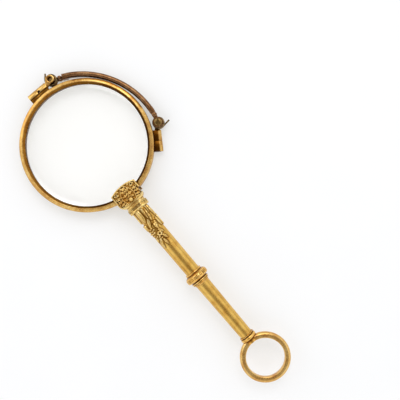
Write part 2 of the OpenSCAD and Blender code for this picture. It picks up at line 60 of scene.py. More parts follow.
LENS_CENTRE = np.array((0, LENS_STATION, -HANDLE_AXIS))
FOLD_SHIFT = -2.2      # mm from the fixed rim's middle plane to the folding rim's
BOW_DIR = 28.2         # degrees from the lens's right round to the bow's middle
RIM_OPEN, RIM_OUT = 17.8, 19.6
CUT_X, CUT_W = -0.95, 0.06    # the saw cut, which the screw has drawn nearly shut
MAIN = "handle_and_fixed_eye"
EYE_BODIES = {"fixed": MAIN, "folding": "folding_eye"}


def polar(radius, degrees):
    """x and y of a point at a distance and a bearing."""
    return radius * math.cos(math.radians(degrees)), radius * math.sin(math.radians(degrees))


def spun(p, degrees):
    """Points turned about the z axis."""
    c, s = polar(1, degrees)
    return np.stack([p[:, 0] * c - p[:, 1] * s, p[:, 0] * s + p[:, 1] * c, p[:, 2]], -1)


def placed(points, folding=False):
    """Points in mm from the fixed lens's centre, as points of the part in metres."""
    p = np.array(points, float).reshape(-1, 3)
    if folding:
        p = spun(p * (1, -1, -1) + (0, 0, FOLD_SHIFT), 2 * BOW_DIR)
    return (p + LENS_CENTRE) * MM


def points_of(mesh):
    """A mesh's points as an array."""
    co = np.zeros(len(mesh.vertices) * 3)
    mesh.vertices.foreach_get("co", co)
    return co.reshape(-1, 3)


def local(mesh):
    """Points of a mesh that is in its place, back in mm from the fixed lens's centre."""
    return points_of(mesh) / MM - LENS_CENTRE


def moved(mesh, points):
    """Gives the points of a mesh new places."""
    mesh.vertices.foreach_set("co", points.ravel())
    mesh.update()
    return mesh


def turned_over(mesh):
    """Moves a mesh made for the fixed eye to its place on the folding eye."""
    return moved(mesh, placed(local(mesh), True))


def in_scene(name, data):
    """A new object in the scene."""
    thing = bpy.data.objects.new(name, data)
    bpy.context.scene.collection.objects.link(thing)
    return thing


def sealed(mesh):
    """Merges a mesh's double points and turns its faces outwards."""
    work = bmesh.new()
    work.from_mesh(mesh)
    bmesh.ops.remove_doubles(work, verts=work.verts, dist=0.0004 * MM)
    bmesh.ops.recalc_face_normals(work, faces=work.faces)
    work.to_mesh(mesh)
    work.free()
    return mesh


def fixed(name, mesh, material, node=None, body=MAIN, sharp=34.0):
    """Seals a mesh and makes it a piece that rides on a body, in place of a CAD node if one is
    named. Edges past sharp degrees stay sharp."""
    sealed(mesh).shade_smooth()
    if sharp:
        mesh.set_sharp_from_angle(angle=math.radians(sharp))
    mesh.materials.clear()
    mesh.materials.append(material)
    mesh.name = name
    piece = in_scene(name, mesh)
    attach(piece, body)
    if node:
        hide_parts(node)


def on_eye(eye, name, mesh, material, node, sharp=34.0):
    """Makes a mesh, drawn on the fixed eye, a piece of either eye."""
    if eye == "folding":
        turned_over(mesh)
    fixed(f"{eye}_{name}", mesh, material, f"{eye}_{node}", EYE_BODIES[eye], sharp)


def linear(code):
    """A colour written as sRGB hex, in the linear numbers that a shader takes."""
    parts = [int(code[i:i + 2], 16) / 255 for i in (1, 3, 5)]
    return [c / 12.92 if c <= 0.04045 else ((c + 0.055) / 1.055) ** 2.4 for c in parts] + [1.0]


def add(tree, kind, inputs=None, stops=(), **settings):
    """Adds a node with its settings. An input is a value, or the socket that feeds it, and
    stops are a colour ramp's [place, colour] pairs."""
    node = tree.nodes.new(kind)
    for name, value in settings.items():
        setattr(node, name, value)
    for name, value in (inputs or {}).items():
        if isinstance(value, bpy.types.NodeSocket):
            tree.links.new(value, node.inputs[name])
        else:
            node.inputs[name].default_value = value
    if stops:
        line = node.color_ramp.elements
        line[0].position, line[0].color = stops[0]
        line[1].position, line[1].color = stops[-1]
        for place, colour in stops[1:-1]:
            line.new(place).color = colour
    return node


def blank(name):
    """A new material, its empty tree, and the place in the piece that a pattern starts from."""
    material = bpy.data.materials.new(name)
    material.use_nodes = True
    tree = material.node_tree
    tree.nodes.clear()
    return material, tree, add(tree, "ShaderNodeTexCoord").outputs["Object"]


def cloud(tree, place, per_mm, detail=2.0, rough=0.5):
    """Soft noise, drawn so many times to a mm."""
    return add(tree, "ShaderNodeTexNoise", {"Vector": place, "Scale": per_mm / MM,
                                            "Detail": detail, "Roughness": rough}).outputs["Fac"]


def toned(tree, value, levels, codes):
    """Colours in sRGB hex, one for each level of a value."""
    return add(tree, "ShaderNodeValToRGB", {"Fac": value},
               [(level, linear(code)) for level, code in zip(levels, codes)]).outputs["Color"]


def maths(tree, operation, a, b):
    """Two values joined by an operation."""
    return add(tree, "ShaderNodeMath", {0: a, 1: b}, operation=operation).outputs[0]


def multiplied(tree, a, b):
    """One colour multiplied by another."""
    return add(tree, "ShaderNodeMix", {0: 1.0, 6: a, 7: b}, data_type="RGBA",
               blend_type="MULTIPLY").outputs[2]


def metal_surface(tree, colour, grain, sheen, dents):
    """Ends a metal's tree: its grain shows in the sheen, between two values of roughness, and
    as dents of a strength and a depth in mm."""
    rough = add(tree, "ShaderNodeMapRange", {0: grain, 1: 0.3, 2: 0.7, 3: sheen[0], 4: sheen[1]})
    bump = add(tree, "ShaderNodeBump", {
        "Strength": dents[0], "Distance": dents[1] * MM, "Height": grain})
    shader = add(tree, "ShaderNodeBsdfPrincipled", {
        "Base Color": colour, "Metallic": 1.0, "Roughness": rough.outputs[0],
        "Normal": bump.outputs[0]})
    add(tree, "ShaderNodeOutputMaterial", {"Surface": shader.outputs[0]})


def gold(name, colours, grain, sheen, dents, reach=0.5, dirt_and_shade=(0.08, 0.34, 0.62), marked_dirt_and_shade=False,
         stretch=(1, 1, 1)):
    """Gold alloy: tarnish in patches, grime and painted shade in corners, grain in the sheen and the
    surface. grain counts the grains to a mm, drawn coarser than the real ones so that they show.
    Grime and painted shade spread reach mm out of a corner, with three levels from packed to bare
    and lit. marked_dirt_and_shade says that the mesh is marked with its own grime and painted shade."""
    material, tree, place = blank(name)
    worn = toned(tree, cloud(tree, place, 0.42, 4.0, 0.62), (0.34, 0.50, 0.68), colours)
    clean_and_lit = add(tree, "ShaderNodeAmbientOcclusion", {"Distance": reach * MM}, samples=8).outputs["AO"]
    if marked_dirt_and_shade:
        rubbed_and_lit = add(tree, "ShaderNodeAttribute", attribute_name="relief").outputs["Fac"]
        clean_and_lit = maths(tree, "MULTIPLY", clean_and_lit, rubbed_and_lit)
    soil_and_shade = toned(tree, clean_and_lit, dirt_and_shade, ("#6A5228", "#BDA06A", "#FFFFFF"))
    along = add(tree, "ShaderNodeMapping", {"Vector": place, "Scale": stretch}).outputs[0]
    metal_surface(tree, multiplied(tree, worn, soil_and_shade), cloud(tree, along, grain, 3.0), sheen, dents)
    return material


def tree_of(name, sockets):
    """A geometry tree with its named inputs, and the line of points that goes into it."""
    tree = bpy.data.node_groups.new(name, "GeometryNodeTree")
    for label, kind in [("Geometry", "Geometry")] + sockets:
        tree.interface.new_socket(name=label, in_out="INPUT", socket_type="NodeSocket" + kind)
    tree.interface.new_socket(name="Geometry", in_out="OUTPUT", socket_type="NodeSocketGeometry")
    given = add(tree, "NodeGroupInput").outputs
    line = add(tree, "GeometryNodeMeshToCurve", {"Mesh": given["Geometry"]}).outputs[0]
    return tree, given, line


def end_tree(tree, made, metal):
    """Ends a geometry tree: instances made real, material set."""
    real = add(tree, "GeometryNodeRealizeInstances", {"Geometry": made})
    dressed = add(tree, "GeometryNodeSetMaterial", {"Geometry": real.outputs[0], "Material": metal})
    add(tree, "NodeGroupOutput", {"Geometry": dressed.outputs[0]})


def plain(holder):
    """The plain mesh that an object's modifier makes. The object goes, and its modifier too."""
    ready = bpy.context.evaluated_depsgraph_get()
    made = bpy.data.meshes.new_from_object(holder.evaluated_get(ready), depsgraph=ready)
    bpy.data.objects.remove(holder)
    return made


def grow(tree, points, closed, **values):
    """Runs a geometry tree on a line of points and gives back the mesh that it makes."""
    edges = [(i, (i + 1) % len(points)) for i in range(len(points) - (not closed))]
    seed = bpy.data.meshes.new("seed")
    seed.from_pydata(points, edges, [])
    holder = in_scene("seed", seed)
    modifier = holder.modifiers.new("grow", "NODES")
    modifier.node_group = tree
    for item in tree.interface.items_tree:
        label = item.name.replace(" ", "_")
        if item.in_out == "INPUT" and label in values:
            modifier[item.identifier] = values[label]
    return plain(holder)


# A closed section swept along an arc: the rule for rims, bow and suspension ring
sweep_tree, given, section = tree_of("section_along_arc", [
    ("Radius", "Float"), ("Start", "Float"), ("Sweep", "Float"), ("Steps", "Int"),
    ("Capped", "Bool"), ("Metal", "Material")])
arc = add(sweep_tree, "GeometryNodeCurveArc", {
    "Resolution": given["Steps"], "Radius": given["Radius"], "Start Angle": given["Start"],
    "Sweep Angle": given["Sweep"]}, mode="RADIUS")
swept = add(sweep_tree, "GeometryNodeCurveToMesh", {
    "Curve": arc.outputs[0], "Profile Curve": section, "Fill Caps": given["Capped"]})
end_tree(sweep_tree, swept.outputs[0], given["Metal"])


def arc_piece(outline, radius, start, sweep, steps, metal):
    """Mesh of a section, drawn as [outwards, forwards] in mm, swept round the origin."""
    return grow(sweep_tree, [(x, -z, 0) for x, z in outline], True, Radius=radius,
                Start=math.radians(start), Sweep=math.radians(sweep), Steps=steps,
                Capped=sweep < 360, Metal=metal)


def rounded(corners, steps=5):
    """Outline with its corners rounded. Each corner is [x, y, radius]."""
    out = []
    spots = [np.array(corner[:2], float) for corner in corners]
    for i, p in enumerate(spots):
        a, b = spots[i - 1] - p, spots[(i + 1) % len(spots)] - p
        a, b = a / np.linalg.norm(a), b / np.linalg.norm(b)
        half = math.acos(max(-1, min(1, a @ b))) / 2
        r = corners[i][2]
        if r == 0 or half > 1.5:
            out.append(tuple(p))
            continue
        back = r / math.tan(half)
        centre = p + (a + b) / np.linalg.norm(a + b) * r / math.sin(half)
        start, end = (math.degrees(math.atan2(*(p + way * back - centre)[::-1])) for way in (a, b))
        turn = (end - start + 180) % 360 - 180
        out += [tuple(centre + polar(r, start + turn * k / steps)) for k in range(steps + 1)]
    return out


def marked(mesh, clean_and_lit):
    """Writes on a mesh how bare and lit each point is: 1 at most, less where grime lies or shade is
    painted.
    """
    note = mesh.attributes.new("relief", "FLOAT", "POINT")
    note.data.foreach_set("value", np.broadcast_to(clean_and_lit, len(mesh.vertices)).astype(np.float32))
    return mesh


# Rolled gold, handled for a long time: a soft polish with faint orange patches where the skin
# # has worn. Brown painted shade lies on the inner wall, on the back and behind the bow.
rim_gold = gold("rolled_gold_rims", ("#B68447", "#D2A65C", "#E4C07A"), 5.2, (0.20, 0.32),
                (0.25, 0.01), 1.3, (0.20, 0.55, 0.85), marked_dirt_and_shade=True)
rim_mid = (RIM_OPEN + RIM_OUT) / 2
rim_section = rounded([
    (-0.9, -0.95, 0.22), (0.9, -0.95, 0.6), (0.9, 0.63, 0.36), (-0.14, 0.965, 0.24),
    (-0.34, 0.80, 0.10), (-0.87, 0.34, 0.06), (-0.9, 0.28, 0.02),
    (-0.5, 0.05, 0), (-0.5, -0.05, 0), (-0.9, -0.30, 0.03)])
cut_mid = 90 - math.degrees(math.asin(CUT_X / rim_mid))
cut_half = math.degrees(CUT_W / 2 / rim_mid)
for eye in EYE_BODIES:
    ring = arc_piece(rim_section, rim_mid, cut_mid + cut_half, 360 - 2 * cut_half, 300, rim_gold)
    p = points_of(ring)
    out = np.hypot(p[:, 0], p[:, 1]) - rim_mid
    bearing = np.degrees(np.arctan2(p[:, 1], p[:, 0]))
    # Painted shade: the rims' backs, their inner wall (darker towards one side) and the outer side
    # behind the bow
    clean_and_lit = np.select([p[:, 2] < -0.55, out < -0.24],
                      [0.62, 0.30 - 0.20 * np.cos(np.radians(bearing + 40))], 1.0)
    shade_beside_bow = np.clip((36 - np.abs(bearing - BOW_DIR)) / 3, 0, 1) * (out > 0.55)
    marked(moved(ring, placed(p)), clean_and_lit * (1 - 0.55 * shade_beside_bow))
    on_eye(eye, "eye_rim", ring, rim_gold, "rim")

# The lenses are crown glass, ground to a shallow dome on both faces. Their edge is bevelled
# all round to sit in the rim's groove, and nothing but the screwed rim holds them.
LENS_EDGE_R, LENS_MID, LENS_RIM = 18.2, 0.7, 0.3


def mesh_of(points, faces):
    """A mesh from its points and faces."""
    mesh = bpy.data.meshes.new("piece")
    mesh.from_pydata(np.array(points, float).reshape(-1, 3).tolist(), [], faces)
    return mesh


def between(first, second):
    """Faces between two closed lines of points, given by their numbers."""
    n = len(first)
    return [(first[k], first[(k + 1) % n], second[(k + 1) % n], second[k]) for k in range(n)]


def stacked(rings, sides):
    """Faces between rings of points that follow each other."""
    lines = [range(i * sides, (i + 1) * sides) for i in range(rings)]
    return [f for i in range(rings - 1) for f in between(lines[i], lines[i + 1])]


def lathe(profile, sides, place, bumps=None):
    """Mesh turned from [radius, height] points. place moves (x, y, height) to the part in mm,
    and bumps gives what to add to the radius at an angle and a height."""
    a = np.arange(sides) * 2 * math.pi / sides * np.ones((len(profile), 1))
    r, h = (np.array(column, float)[:, None] * np.ones(sides) for column in zip(*profile))
    if bumps is not None:
        r = r + np.where(r > 1e-6, bumps(a, h), 0)
    points = place(np.stack([r * np.cos(a), r * np.sin(a), h], -1).reshape(-1, 3))
    return mesh_of(placed(points), stacked(len(profile), sides))


def upright(x, y):
    """Placing for a piece that stands on the lens plane at x, y."""
    return lambda p: p + (x, y, 0)


# Clear old crown glass, ground and polished: only its edge line and the lamps show on it, and
# a faint haze of wear in spots of 1 mm. Lamps shine through it, as it casts hardly any shade.
glass, tree, place = blank("crown_glass_polished")
wear = cloud(tree, place, 0.9, 6.0)
haze = add(tree, "ShaderNodeMapRange", {0: wear, 1: 0.62, 2: 0.8, 3: 0.0, 4: 0.02})
body = add(tree, "ShaderNodeBsdfPrincipled", {
    "Base Color": linear("#FFFFFF"), "Roughness": haze.outputs[0], "IOR": 1.52,
    "Transmission Weight": 1.0})
clear = add(tree, "ShaderNodeBsdfTransparent", {"Color": linear("#FFFFFF")})
ray = add(tree, "ShaderNodeLightPath").outputs["Is Shadow Ray"]
mix = add(tree, "ShaderNodeMixShader", {0: ray, 1: body.outputs[0], 2: clear.outputs[0]})
add(tree, "ShaderNodeOutputMaterial", {"Surface": mix.outputs[0]})

bulge = LENS_MID - LENS_RIM
dome_r = (RIM_OPEN ** 2 + bulge ** 2) / (2 * bulge)
lens_profile = [(r, LENS_MID - dome_r + math.sqrt(dome_r ** 2 - r ** 2))
                for r in np.linspace(0, RIM_OPEN, 13)]
lens_profile += [(LENS_EDGE_R - 0.12, 0.24), (LENS_EDGE_R, 0.05)]
lens_profile += [(r, -z) for r, z in reversed(lens_profile)]
for eye in EYE_BODIES:
    on_eye(eye, "eye_lens", lathe(lens_profile, 144, upright(0, 0)), glass, "lens",
           sharp=30.0)

# Each rim is shut by a soldered barrel, sawn in two with the rim and drawn together by a
# screw. The right half also carries a lug with the hinge tube, its front end left open.
BARREL_Y, BARREL_LEFT, BARREL_RIGHT = 20.55, CUT_X - 3.1, 2.25
BLOCK_R, BLOCK_OUT = 0.95, 1.4
HINGE_X, HINGE_Y = 4.2537, 21.4829
TUBE_R, BORE_R, THREAD_R, TUBE_LOW, TUBE_HIGH = 1.28, 0.75, 0.70, -2.1, 0.95
LUG_X, LUG_HALF, LUG_GRIP, LUG_LOW, LUG_HIGH = 1.95, 0.62, 1.08, 0.17, 0.87
SCREW_WELL_R, SCREW_WELL_END = 0.68, -3.45
at_hinge = upright(HINGE_X, HINGE_Y)


def lying(p):
    """Placing for a piece that lies along x."""
    return p[:, [2, 0, 1]]


def prism(outline, start, end, place):
    """Mesh of an outline drawn flat, pushed from one height to another and placed, in mm."""
    n = len(outline)
    points = place(np.array([(u, v, level) for level in (start, end) for u, v in outline]))
    ends = [tuple(range(n - 1, -1, -1)), tuple(range(n, 2 * n))]
    return mesh_of(placed(points), ends + stacked(2, n))


def rod(r, start, end, sides, place):
    """Mesh of a plain round bar, a tool for drilling."""
    return lathe([(0, start), (r, start), (r, end), (0, end)], sides, place)


def eased(mesh, width):
    """Breaks the sharp edges of a mesh, as filing does. Width in mm."""
    work = bmesh.new()
    work.from_mesh(sealed(mesh))
    edges = [e for e in work.edges
             if len(e.link_faces) == 2 and e.calc_face_angle() > math.radians(40)]
    bmesh.ops.bevel(work, geom=edges, offset=width * MM, offset_type="OFFSET", segments=2,
                    profile=0.5, affect="EDGES", clamp_overlap=True)
    work.to_mesh(mesh)
    work.free()
    return mesh


def carve(mesh, tool, how="DIFFERENCE"):
    """Joins, cuts or trims one closed mesh with another."""
    work, cutter = in_scene("work", sealed(mesh)), in_scene("tool", sealed(tool))
    modifier = work.modifiers.new("carve", "BOOLEAN")
    modifier.operation = how
    modifier.solver = "EXACT"
    modifier.object = cutter
    made = plain(work)
    bpy.data.objects.remove(cutter)
    return made


def painted_barrel_shade(mesh):
    """Painted shade in the corner between a barrel and its rim, and on the flat at its back."""
    p = local(mesh)
    back = (p[:, 2] < -0.6) & (p[:, 1] < 21.05)
    return marked(mesh, np.select([back, p[:, 1] < 20.36], [0.26, 0.45], 1.0))


round_top = [polar(1, -90 + 180 * k / 14) for k in range(15)]
barrel = [(BARREL_Y + BLOCK_OUT * c, BLOCK_R * s) for c, s in round_top]
barrel += [(20.34, 0.93), (20.27, 0.76), (20.20, 0.66), (20.12, 0.74), (20.0, 0.80),
           (19.5, 0.76), (19.35, 0.60), (18.95, 0.60), (18.95, -0.95)]
lean = math.atan2(HINGE_Y - BARREL_Y, HINGE_X - BARREL_RIGHT)
grip_x, grip_y = LUG_GRIP * math.sin(lean), LUG_GRIP * math.cos(lean)
for eye in EYE_BODIES:
    left = eased(prism(barrel, BARREL_LEFT, CUT_X - CUT_W / 2, lying), 0.04)
    left = carve(left, rod(SCREW_WELL_R, -5, SCREW_WELL_END, 32,
                           lambda p: lying(p) + (0, BARREL_Y, 0)))
    notch = lathe([(0, 0.1), (0.44, 0.1), (0.48, 1.5), (0, 1.5)], 28,
                  upright(CUT_X + 0.42, BARREL_Y + 0.12))
    on_eye(eye, "joint_plain_half", painted_barrel_shade(carve(left, notch)), rim_gold,
           "joint_left")
    right = carve(eased(prism(barrel, CUT_X + CUT_W / 2, BARREL_RIGHT, lying), 0.04), notch)
    lug = prism([(LUG_X, BARREL_Y - LUG_HALF), (HINGE_X + grip_x, HINGE_Y - grip_y),
                 (HINGE_X - grip_x, HINGE_Y + grip_y), (LUG_X, BARREL_Y + LUG_HALF)],
                LUG_LOW, LUG_HIGH, upright(0, 0))
    right = carve(right, eased(lug, 0.08), "UNION")
    right = carve(right, rod(THREAD_R + 0.03, -3, 2, 48, at_hinge))
    tube = lathe([(THREAD_R, TUBE_LOW), (TUBE_R - 0.08, TUBE_LOW), (TUBE_R, TUBE_LOW + 0.08),
                  (TUBE_R, 0.80), (TUBE_R - 0.05, 0.91), (TUBE_R - 0.16, TUBE_HIGH),
                  (BORE_R + 0.16, TUBE_HIGH), (BORE_R + 0.04, 0.91), (BORE_R, 0.80),
                  (BORE_R, 0.2), (THREAD_R, 0.2), (THREAD_R, TUBE_LOW)], 64, at_hinge)
    on_eye(eye, "joint_hinge_half", painted_barrel_shade(carve(right, tube, "UNION")), rim_gold,
           "joint_right")

# The joint screws lie in the barrels with their heads let into the plain half. They are
# steel, turned and slotted, and stay as the CAD has them. The pin that the catch rocks on and
# the catch's bent leaf spring, both pressed into the head, have the same metal.


def kept(names, metal):
    """Leaves CAD nodes in their own shape, and gives them a finish."""
    for name in names:
        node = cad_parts[name]
        node.data.materials.clear()
        node.data.materials.append(metal)


# Drawn steel gone grey-brown with a breath of rust and old lacquer: dull and blotched. The
# blotches are near 1 mm across, and the grain is drawn at 0.1 mm, coarser than the real one.
steel, tree, place = blank("drawn_spring_steel_toned")
bloom = toned(tree, cloud(tree, place, 1.3, 5.0), (0.3, 0.5, 0.7), ("#3E2F20", "#75603F", "#A58A60"))
metal_surface(tree, bloom, cloud(tree, place, 9.0), (0.24, 0.44), (0.4, 0.01))
kept(("fixed_joint_screw", "folding_joint_screw", "catch_pivot_pin", "catch_spring"), steel)

# A hinge screw goes through the bow's eye into the tube, and the bow turns on its shank.
# It is gilt steel, turned in one, with a low domed head and a sawn slot.
HEAD_FOOT, HEAD_H, HEAD_R, SHANK_R = -3.52, 0.45, 1.2, 0.72
SLOT_TURN, SLOT_HALF_W, SLOT_DEPTH = 4.8, 0.23, 0.24
# Gilt steel with its gilding half worn: olive brown, with yellow left in patches.
gilt = gold("gilt_steel_worn", ("#5C4A2C", "#8E7244", "#C4A266"), 4.2, (0.18, 0.34),
            (0.3, 0.01), 0.9)
for eye in EYE_BODIES:
    screw = lathe([(0, HEAD_FOOT), (0.62, HEAD_FOOT + 0.01), (0.98, HEAD_FOOT + 0.08),
                   (1.15, HEAD_FOOT + 0.2), (HEAD_R, HEAD_FOOT + 0.32),
                   (HEAD_R - 0.05, HEAD_FOOT + HEAD_H), (SHANK_R, HEAD_FOOT + HEAD_H),
                   (SHANK_R, -0.3), (SHANK_R - 0.12, -0.15), (0, -0.15)], 56, at_hinge)
    slot = [(1.5, SLOT_HALF_W), (-1.5, SLOT_HALF_W), (-1.5, -SLOT_HALF_W), (1.5, -SLOT_HALF_W)]
    saw = prism(slot, HEAD_FOOT - 0.3, HEAD_FOOT + SLOT_DEPTH,
                lambda p: at_hinge(spun(p, SLOT_TURN)))
    on_eye(eye, "hinge_slotted_screw", carve(screw, saw), gilt, "hinge_screw",
           sharp=40.0)

# A wire spring is wound round each hinge tube and throws the eye open. Its tail stands
# free. The wire is round spring steel, wound cold on a mandrel in two and a half turns.
WIRE_R, COIL_R, COIL_LOW, COIL_PITCH = 0.25, 1.56, -1.89, 0.74
COIL_TURNS, COIL_STEPS = 2.5, 36
TAIL_DIR, TAIL_STEPS = 49.5, 8
wire_tree, given, path = tree_of("wire_along_path", [
    ("Wire radius", "Float"), ("Sides", "Int"), ("Metal", "Material")])
round_wire = add(wire_tree, "GeometryNodeCurvePrimitiveCircle", {
    "Resolution": given["Sides"], "Radius": given["Wire radius"]})
drawn = add(wire_tree, "GeometryNodeCurveToMesh", {
    "Curve": path, "Profile Curve": round_wire.outputs[0], "Fill Caps": True})
end_tree(wire_tree, drawn.outputs[0], given["Metal"])
for eye, tail in (("fixed", 1.7), ("folding", 2.8)):
    turns = np.arange(int(COIL_TURNS * COIL_STEPS) + 1) / COIL_STEPS
    line = [(*polar(COIL_R, TAIL_DIR + 90 + 360 * (COIL_TURNS - t)), COIL_LOW + COIL_PITCH * t)
            for t in turns]
    tail_way = np.array((*polar(tail / TAIL_STEPS, TAIL_DIR), 0))
    line += [line[-1] + tail_way * k for k in range(1, TAIL_STEPS + 1)]
    coil = grow(wire_tree, at_hinge(np.array(line)).tolist(), False, Wire_radius=WIRE_R, Sides=14,
                Metal=steel)
    on_eye(eye, "hinge_wire_spring", moved(coil, placed(points_of(coil))), steel,
           "hinge_spring", sharp=50.0)

# The bow is a redder gold bar, rolled half round and bent to pass close outside the rims.
# At each end it has a thick shoulder, and beyond that a flat eye for the hinge screw. A small
# boss is riveted through beside the eye.
BOW_BACK, BOW_R, BOW_HALF_SWEEP = 3.76, 24.46, 32.6
BOSS_X, BOSS_Y = 6.552, 20.633
EYE_BORE, EYE_R, EYE_LOW, EYE_HIGH = 0.80, 1.5, -3.01, -2.16
# Rolled red gold, toned brown: a low red sheen, dark in patches, with a fine grain in it.
red = gold("rolled_red_gold_toned", ("#6E4A2C", "#866040", "#9E7A54"), 4.2, (0.20, 0.36),
           (0.3, 0.01))


def bow_length(corners, start, sweep, steps, smooth=5):
    """Mesh of a length of the bow, from a section and its start and sweep in degrees."""
    bent = arc_piece(rounded(corners, smooth), BOW_R, start, sweep, steps, red)
    return moved(bent, placed(spun(points_of(bent) - (BOW_BACK, 0, 0), BOW_DIR)))


bar = bow_length([(-0.8, -2.3, 0.7), (0.8, -2.3, 0.75), (0.8, 0.1, 0.75), (-0.8, 0.1, 0.7)],
                 -BOW_HALF_SWEEP, 2 * BOW_HALF_SWEEP, 90, 7)
fixed("bow_half_round_bar", bar, red, "bow_bar", "bow")
for end in ("upper", "lower"):
    shoulder = bow_length([(-0.8, -3.01, 0.25), (0.8, -3.01, 0.25), (0.8, -0.42, 0.4),
                           (-0.8, -0.42, 0.4)], 32.4, 3.6, 14)
    neck = bow_length([(-0.64, -2.96, 0.12), (0.64, -2.96, 0.12), (0.64, -2.21, 0.2),
                       (-0.64, -2.21, 0.2)], 33.8, 10, 16)
    boss = lathe([(0, -3.34), (0.30, -3.33), (0.52, -3.27), (0.70, -3.13), (0.78, -2.97),
                  (0.78, -2.5), (0.58, -2.4), (0.58, -0.98), (0.50, -0.72), (0.34, -0.58),
                  (0.15, -0.52), (0, -0.51)], 32, upright(BOSS_X, BOSS_Y))
    eye_ring = lathe([(EYE_BORE, EYE_LOW), (EYE_R - 0.08, EYE_LOW), (EYE_R, EYE_LOW + 0.08),
                      (EYE_R, EYE_HIGH - 0.08), (EYE_R - 0.08, EYE_HIGH), (EYE_BORE, EYE_HIGH),
                      (EYE_BORE, EYE_LOW)], 56, at_hinge)
    arm = carve(neck, rod(EYE_BORE, -4, 0, 48, at_hinge))
    for joined in (eye_ring, shoulder, boss):
        arm = carve(arm, joined, "UNION")
    if end == "lower":
        turned_over(arm)
    fixed(f"bow_{end}_shoulder_and_eye", arm, red, f"bow_end_{end}", "bow")

# The head is a small carved box of gold that grips the front rim. A raised border runs round
# # a palmette between two bent ribs, with scrolls at its sides, all chased into the front. A
# # slot lies in its right side, its inside painted dark as shade, and a plain plate closes it behind
# the rim.
CARVE_TOP, GROUND, CARVE_FOOT = 3.4, 0.52, -3.0
CROWN_R, CROWN_Y = 11.2, -27.0
HEAD_HALF_W, CORNER_R, CORNER_Y = 4.2, 2.2, -20.0
SILL_Y, RIBS_TOP, RIBS_END = -21.55, -16.2, -21.35
GATE_X, GATE_Y, GATE_HALF, GATE_DEEP = 3.74, -20.05, 0.80, 2.4
CARVE_STEP, EDGE_R = 0.05, 0.26
# Chased and matted gold: bright where fingers have rubbed the tops, brown in the hollows by patina and
# painted shade.
chased = gold("chased_gold_matted", ("#DAAE62", "#EAC678", "#F6DC9C"), 3.8, (0.16, 0.34),
              (0.7, 0.04), 0.5, (0.15, 0.41, 0.69), marked_dirt_and_shade=True)


def leaf(u, v, u0, v0, turn, length, width, height, veins, dish=0.0):
    """Height of a chased leaf that starts at u0, v0. turn is degrees from the v direction, and
    dish is how far its middle is hollowed."""
    a = math.radians(turn)
    along = (u - u0) * math.sin(a) + (v - v0) * math.cos(a)
    across = (u - u0) * math.cos(a) - (v - v0) * math.sin(a)
    t = np.clip(along / length, 0, 1)
    d = np.abs(across) / (width / 2 * np.sin(math.pi * t ** 0.8) ** 0.75 + 1e-6)
    full = np.clip(1 - d ** 2, 0, 1)
    body = np.sqrt(full) * (1 - dish * full)
    if veins:
        body = body * (1 - 0.4 * np.exp(-(across / (0.09 * width)) ** 2))
        body = body * (1 - 0.16 * (0.5 + 0.5 * np.cos(2 * math.pi * (t * veins - 0.8 * d))))
    return np.where((along > 0) & (along < length), height * body, 0)


def knob(u, v, u0, v0, r, height, pit=0.0):
    """Height of a round bead, with a pit in its middle if asked."""
    d = np.hypot(u - u0, v - v0) / r
    top = np.sqrt(np.clip(1 - d ** 2, 0, 1))
    return height * top - pit * np.exp(-(d / 0.45) ** 2) * (d < 1)


def scroll(u, v, u0, v0, r, width, height):
    """Height of a ring ridge round a hollow."""
    d = np.abs(np.hypot(u - u0, v - v0) - r) / width
    return height * np.sqrt(np.clip(1 - d ** 2, 0, 1))


def punched(u, v, u0, v0, deep, r):
    """Depth of a round punch mark."""
    return deep * np.exp(-(np.hypot(u - u0, v - v0) / r) ** 2)


def edge_distance(x, y):
    """Distance in mm from the head's outline inwards."""
    crown = CROWN_R - np.hypot(x, y - CROWN_Y)
    past_x, past_y = np.abs(x) - (HEAD_HALF_W - CORNER_R), CORNER_Y - y
    corner = CORNER_R - np.hypot(np.clip(past_x, 0, None), np.clip(past_y, 0, None))
    low = np.where(past_x > 0, corner, CORNER_R - past_y)
    return np.minimum(crown, np.where(past_y > 0, low, HEAD_HALF_W - np.abs(x)))


# Right half of the carving. Leaves: foot x and y, turn, length, width, height, veins
HEAD_LEAVES = (
    (0.08, -17.35, 36, 1.30, 0.78, 0.50, 0), (0.05, -18.10, 58, 1.75, 0.92, 0.52, 3),
    (0.05, -18.95, 82, 1.75, 0.92, 0.50, 3), (0.12, -19.70, 108, 1.50, 0.82, 0.48, 3),
    (1.55, -16.75, 62, 1.60, 0.74, 0.48, 2), (2.02, -17.55, 72, 1.70, 0.86, 0.50, 3),
    (2.12, -18.45, 84, 1.65, 0.86, 0.50, 3), (2.10, -19.35, 96, 1.65, 0.86, 0.50, 3),
    (1.95, -20.20, 108, 1.60, 0.80, 0.48, 3), (1.55, -20.95, 96, 1.50, 0.56, 0.46, 0),
    (3.45, -17.9, 172, 0.9, 0.46, 0.44, 0), (3.5, -19.7, 172, 0.9, 0.42, 0.44, 0))
# Scrolls: x, y, radius. Punch marks between the leaves: x, y, depth, radius
HEAD_SCROLLS = ((2.75, -17.10, 0.34), (2.95, -19.0, 0.30))
HEAD_PITS = (
    (0.40, -17.95, 0.34, 0.13), (0.55, -19.85, 0.34, 0.15), (1.02, -20.55, 0.34, 0.20),
    (1.35, -18.52, 0.40, 0.17), (0.62, -16.9, 0.30, 0.15), (1.30, -19.42, 0.40, 0.17),
    (2.5, -18.0, 0.40, 0.16), (2.45, -19.85, 0.40, 0.17), (0.42, -18.62, 0.30, 0.13),
    (3.25, -18.2, 0.36, 0.15))
# Beads down the middle: y, radius, height, pit
HEAD_BEADS = ((-17.75, 0.32, 0.52, 0), (-18.62, 0.36, 0.52, 0.16), (-19.45, 0.32, 0.50, 0))


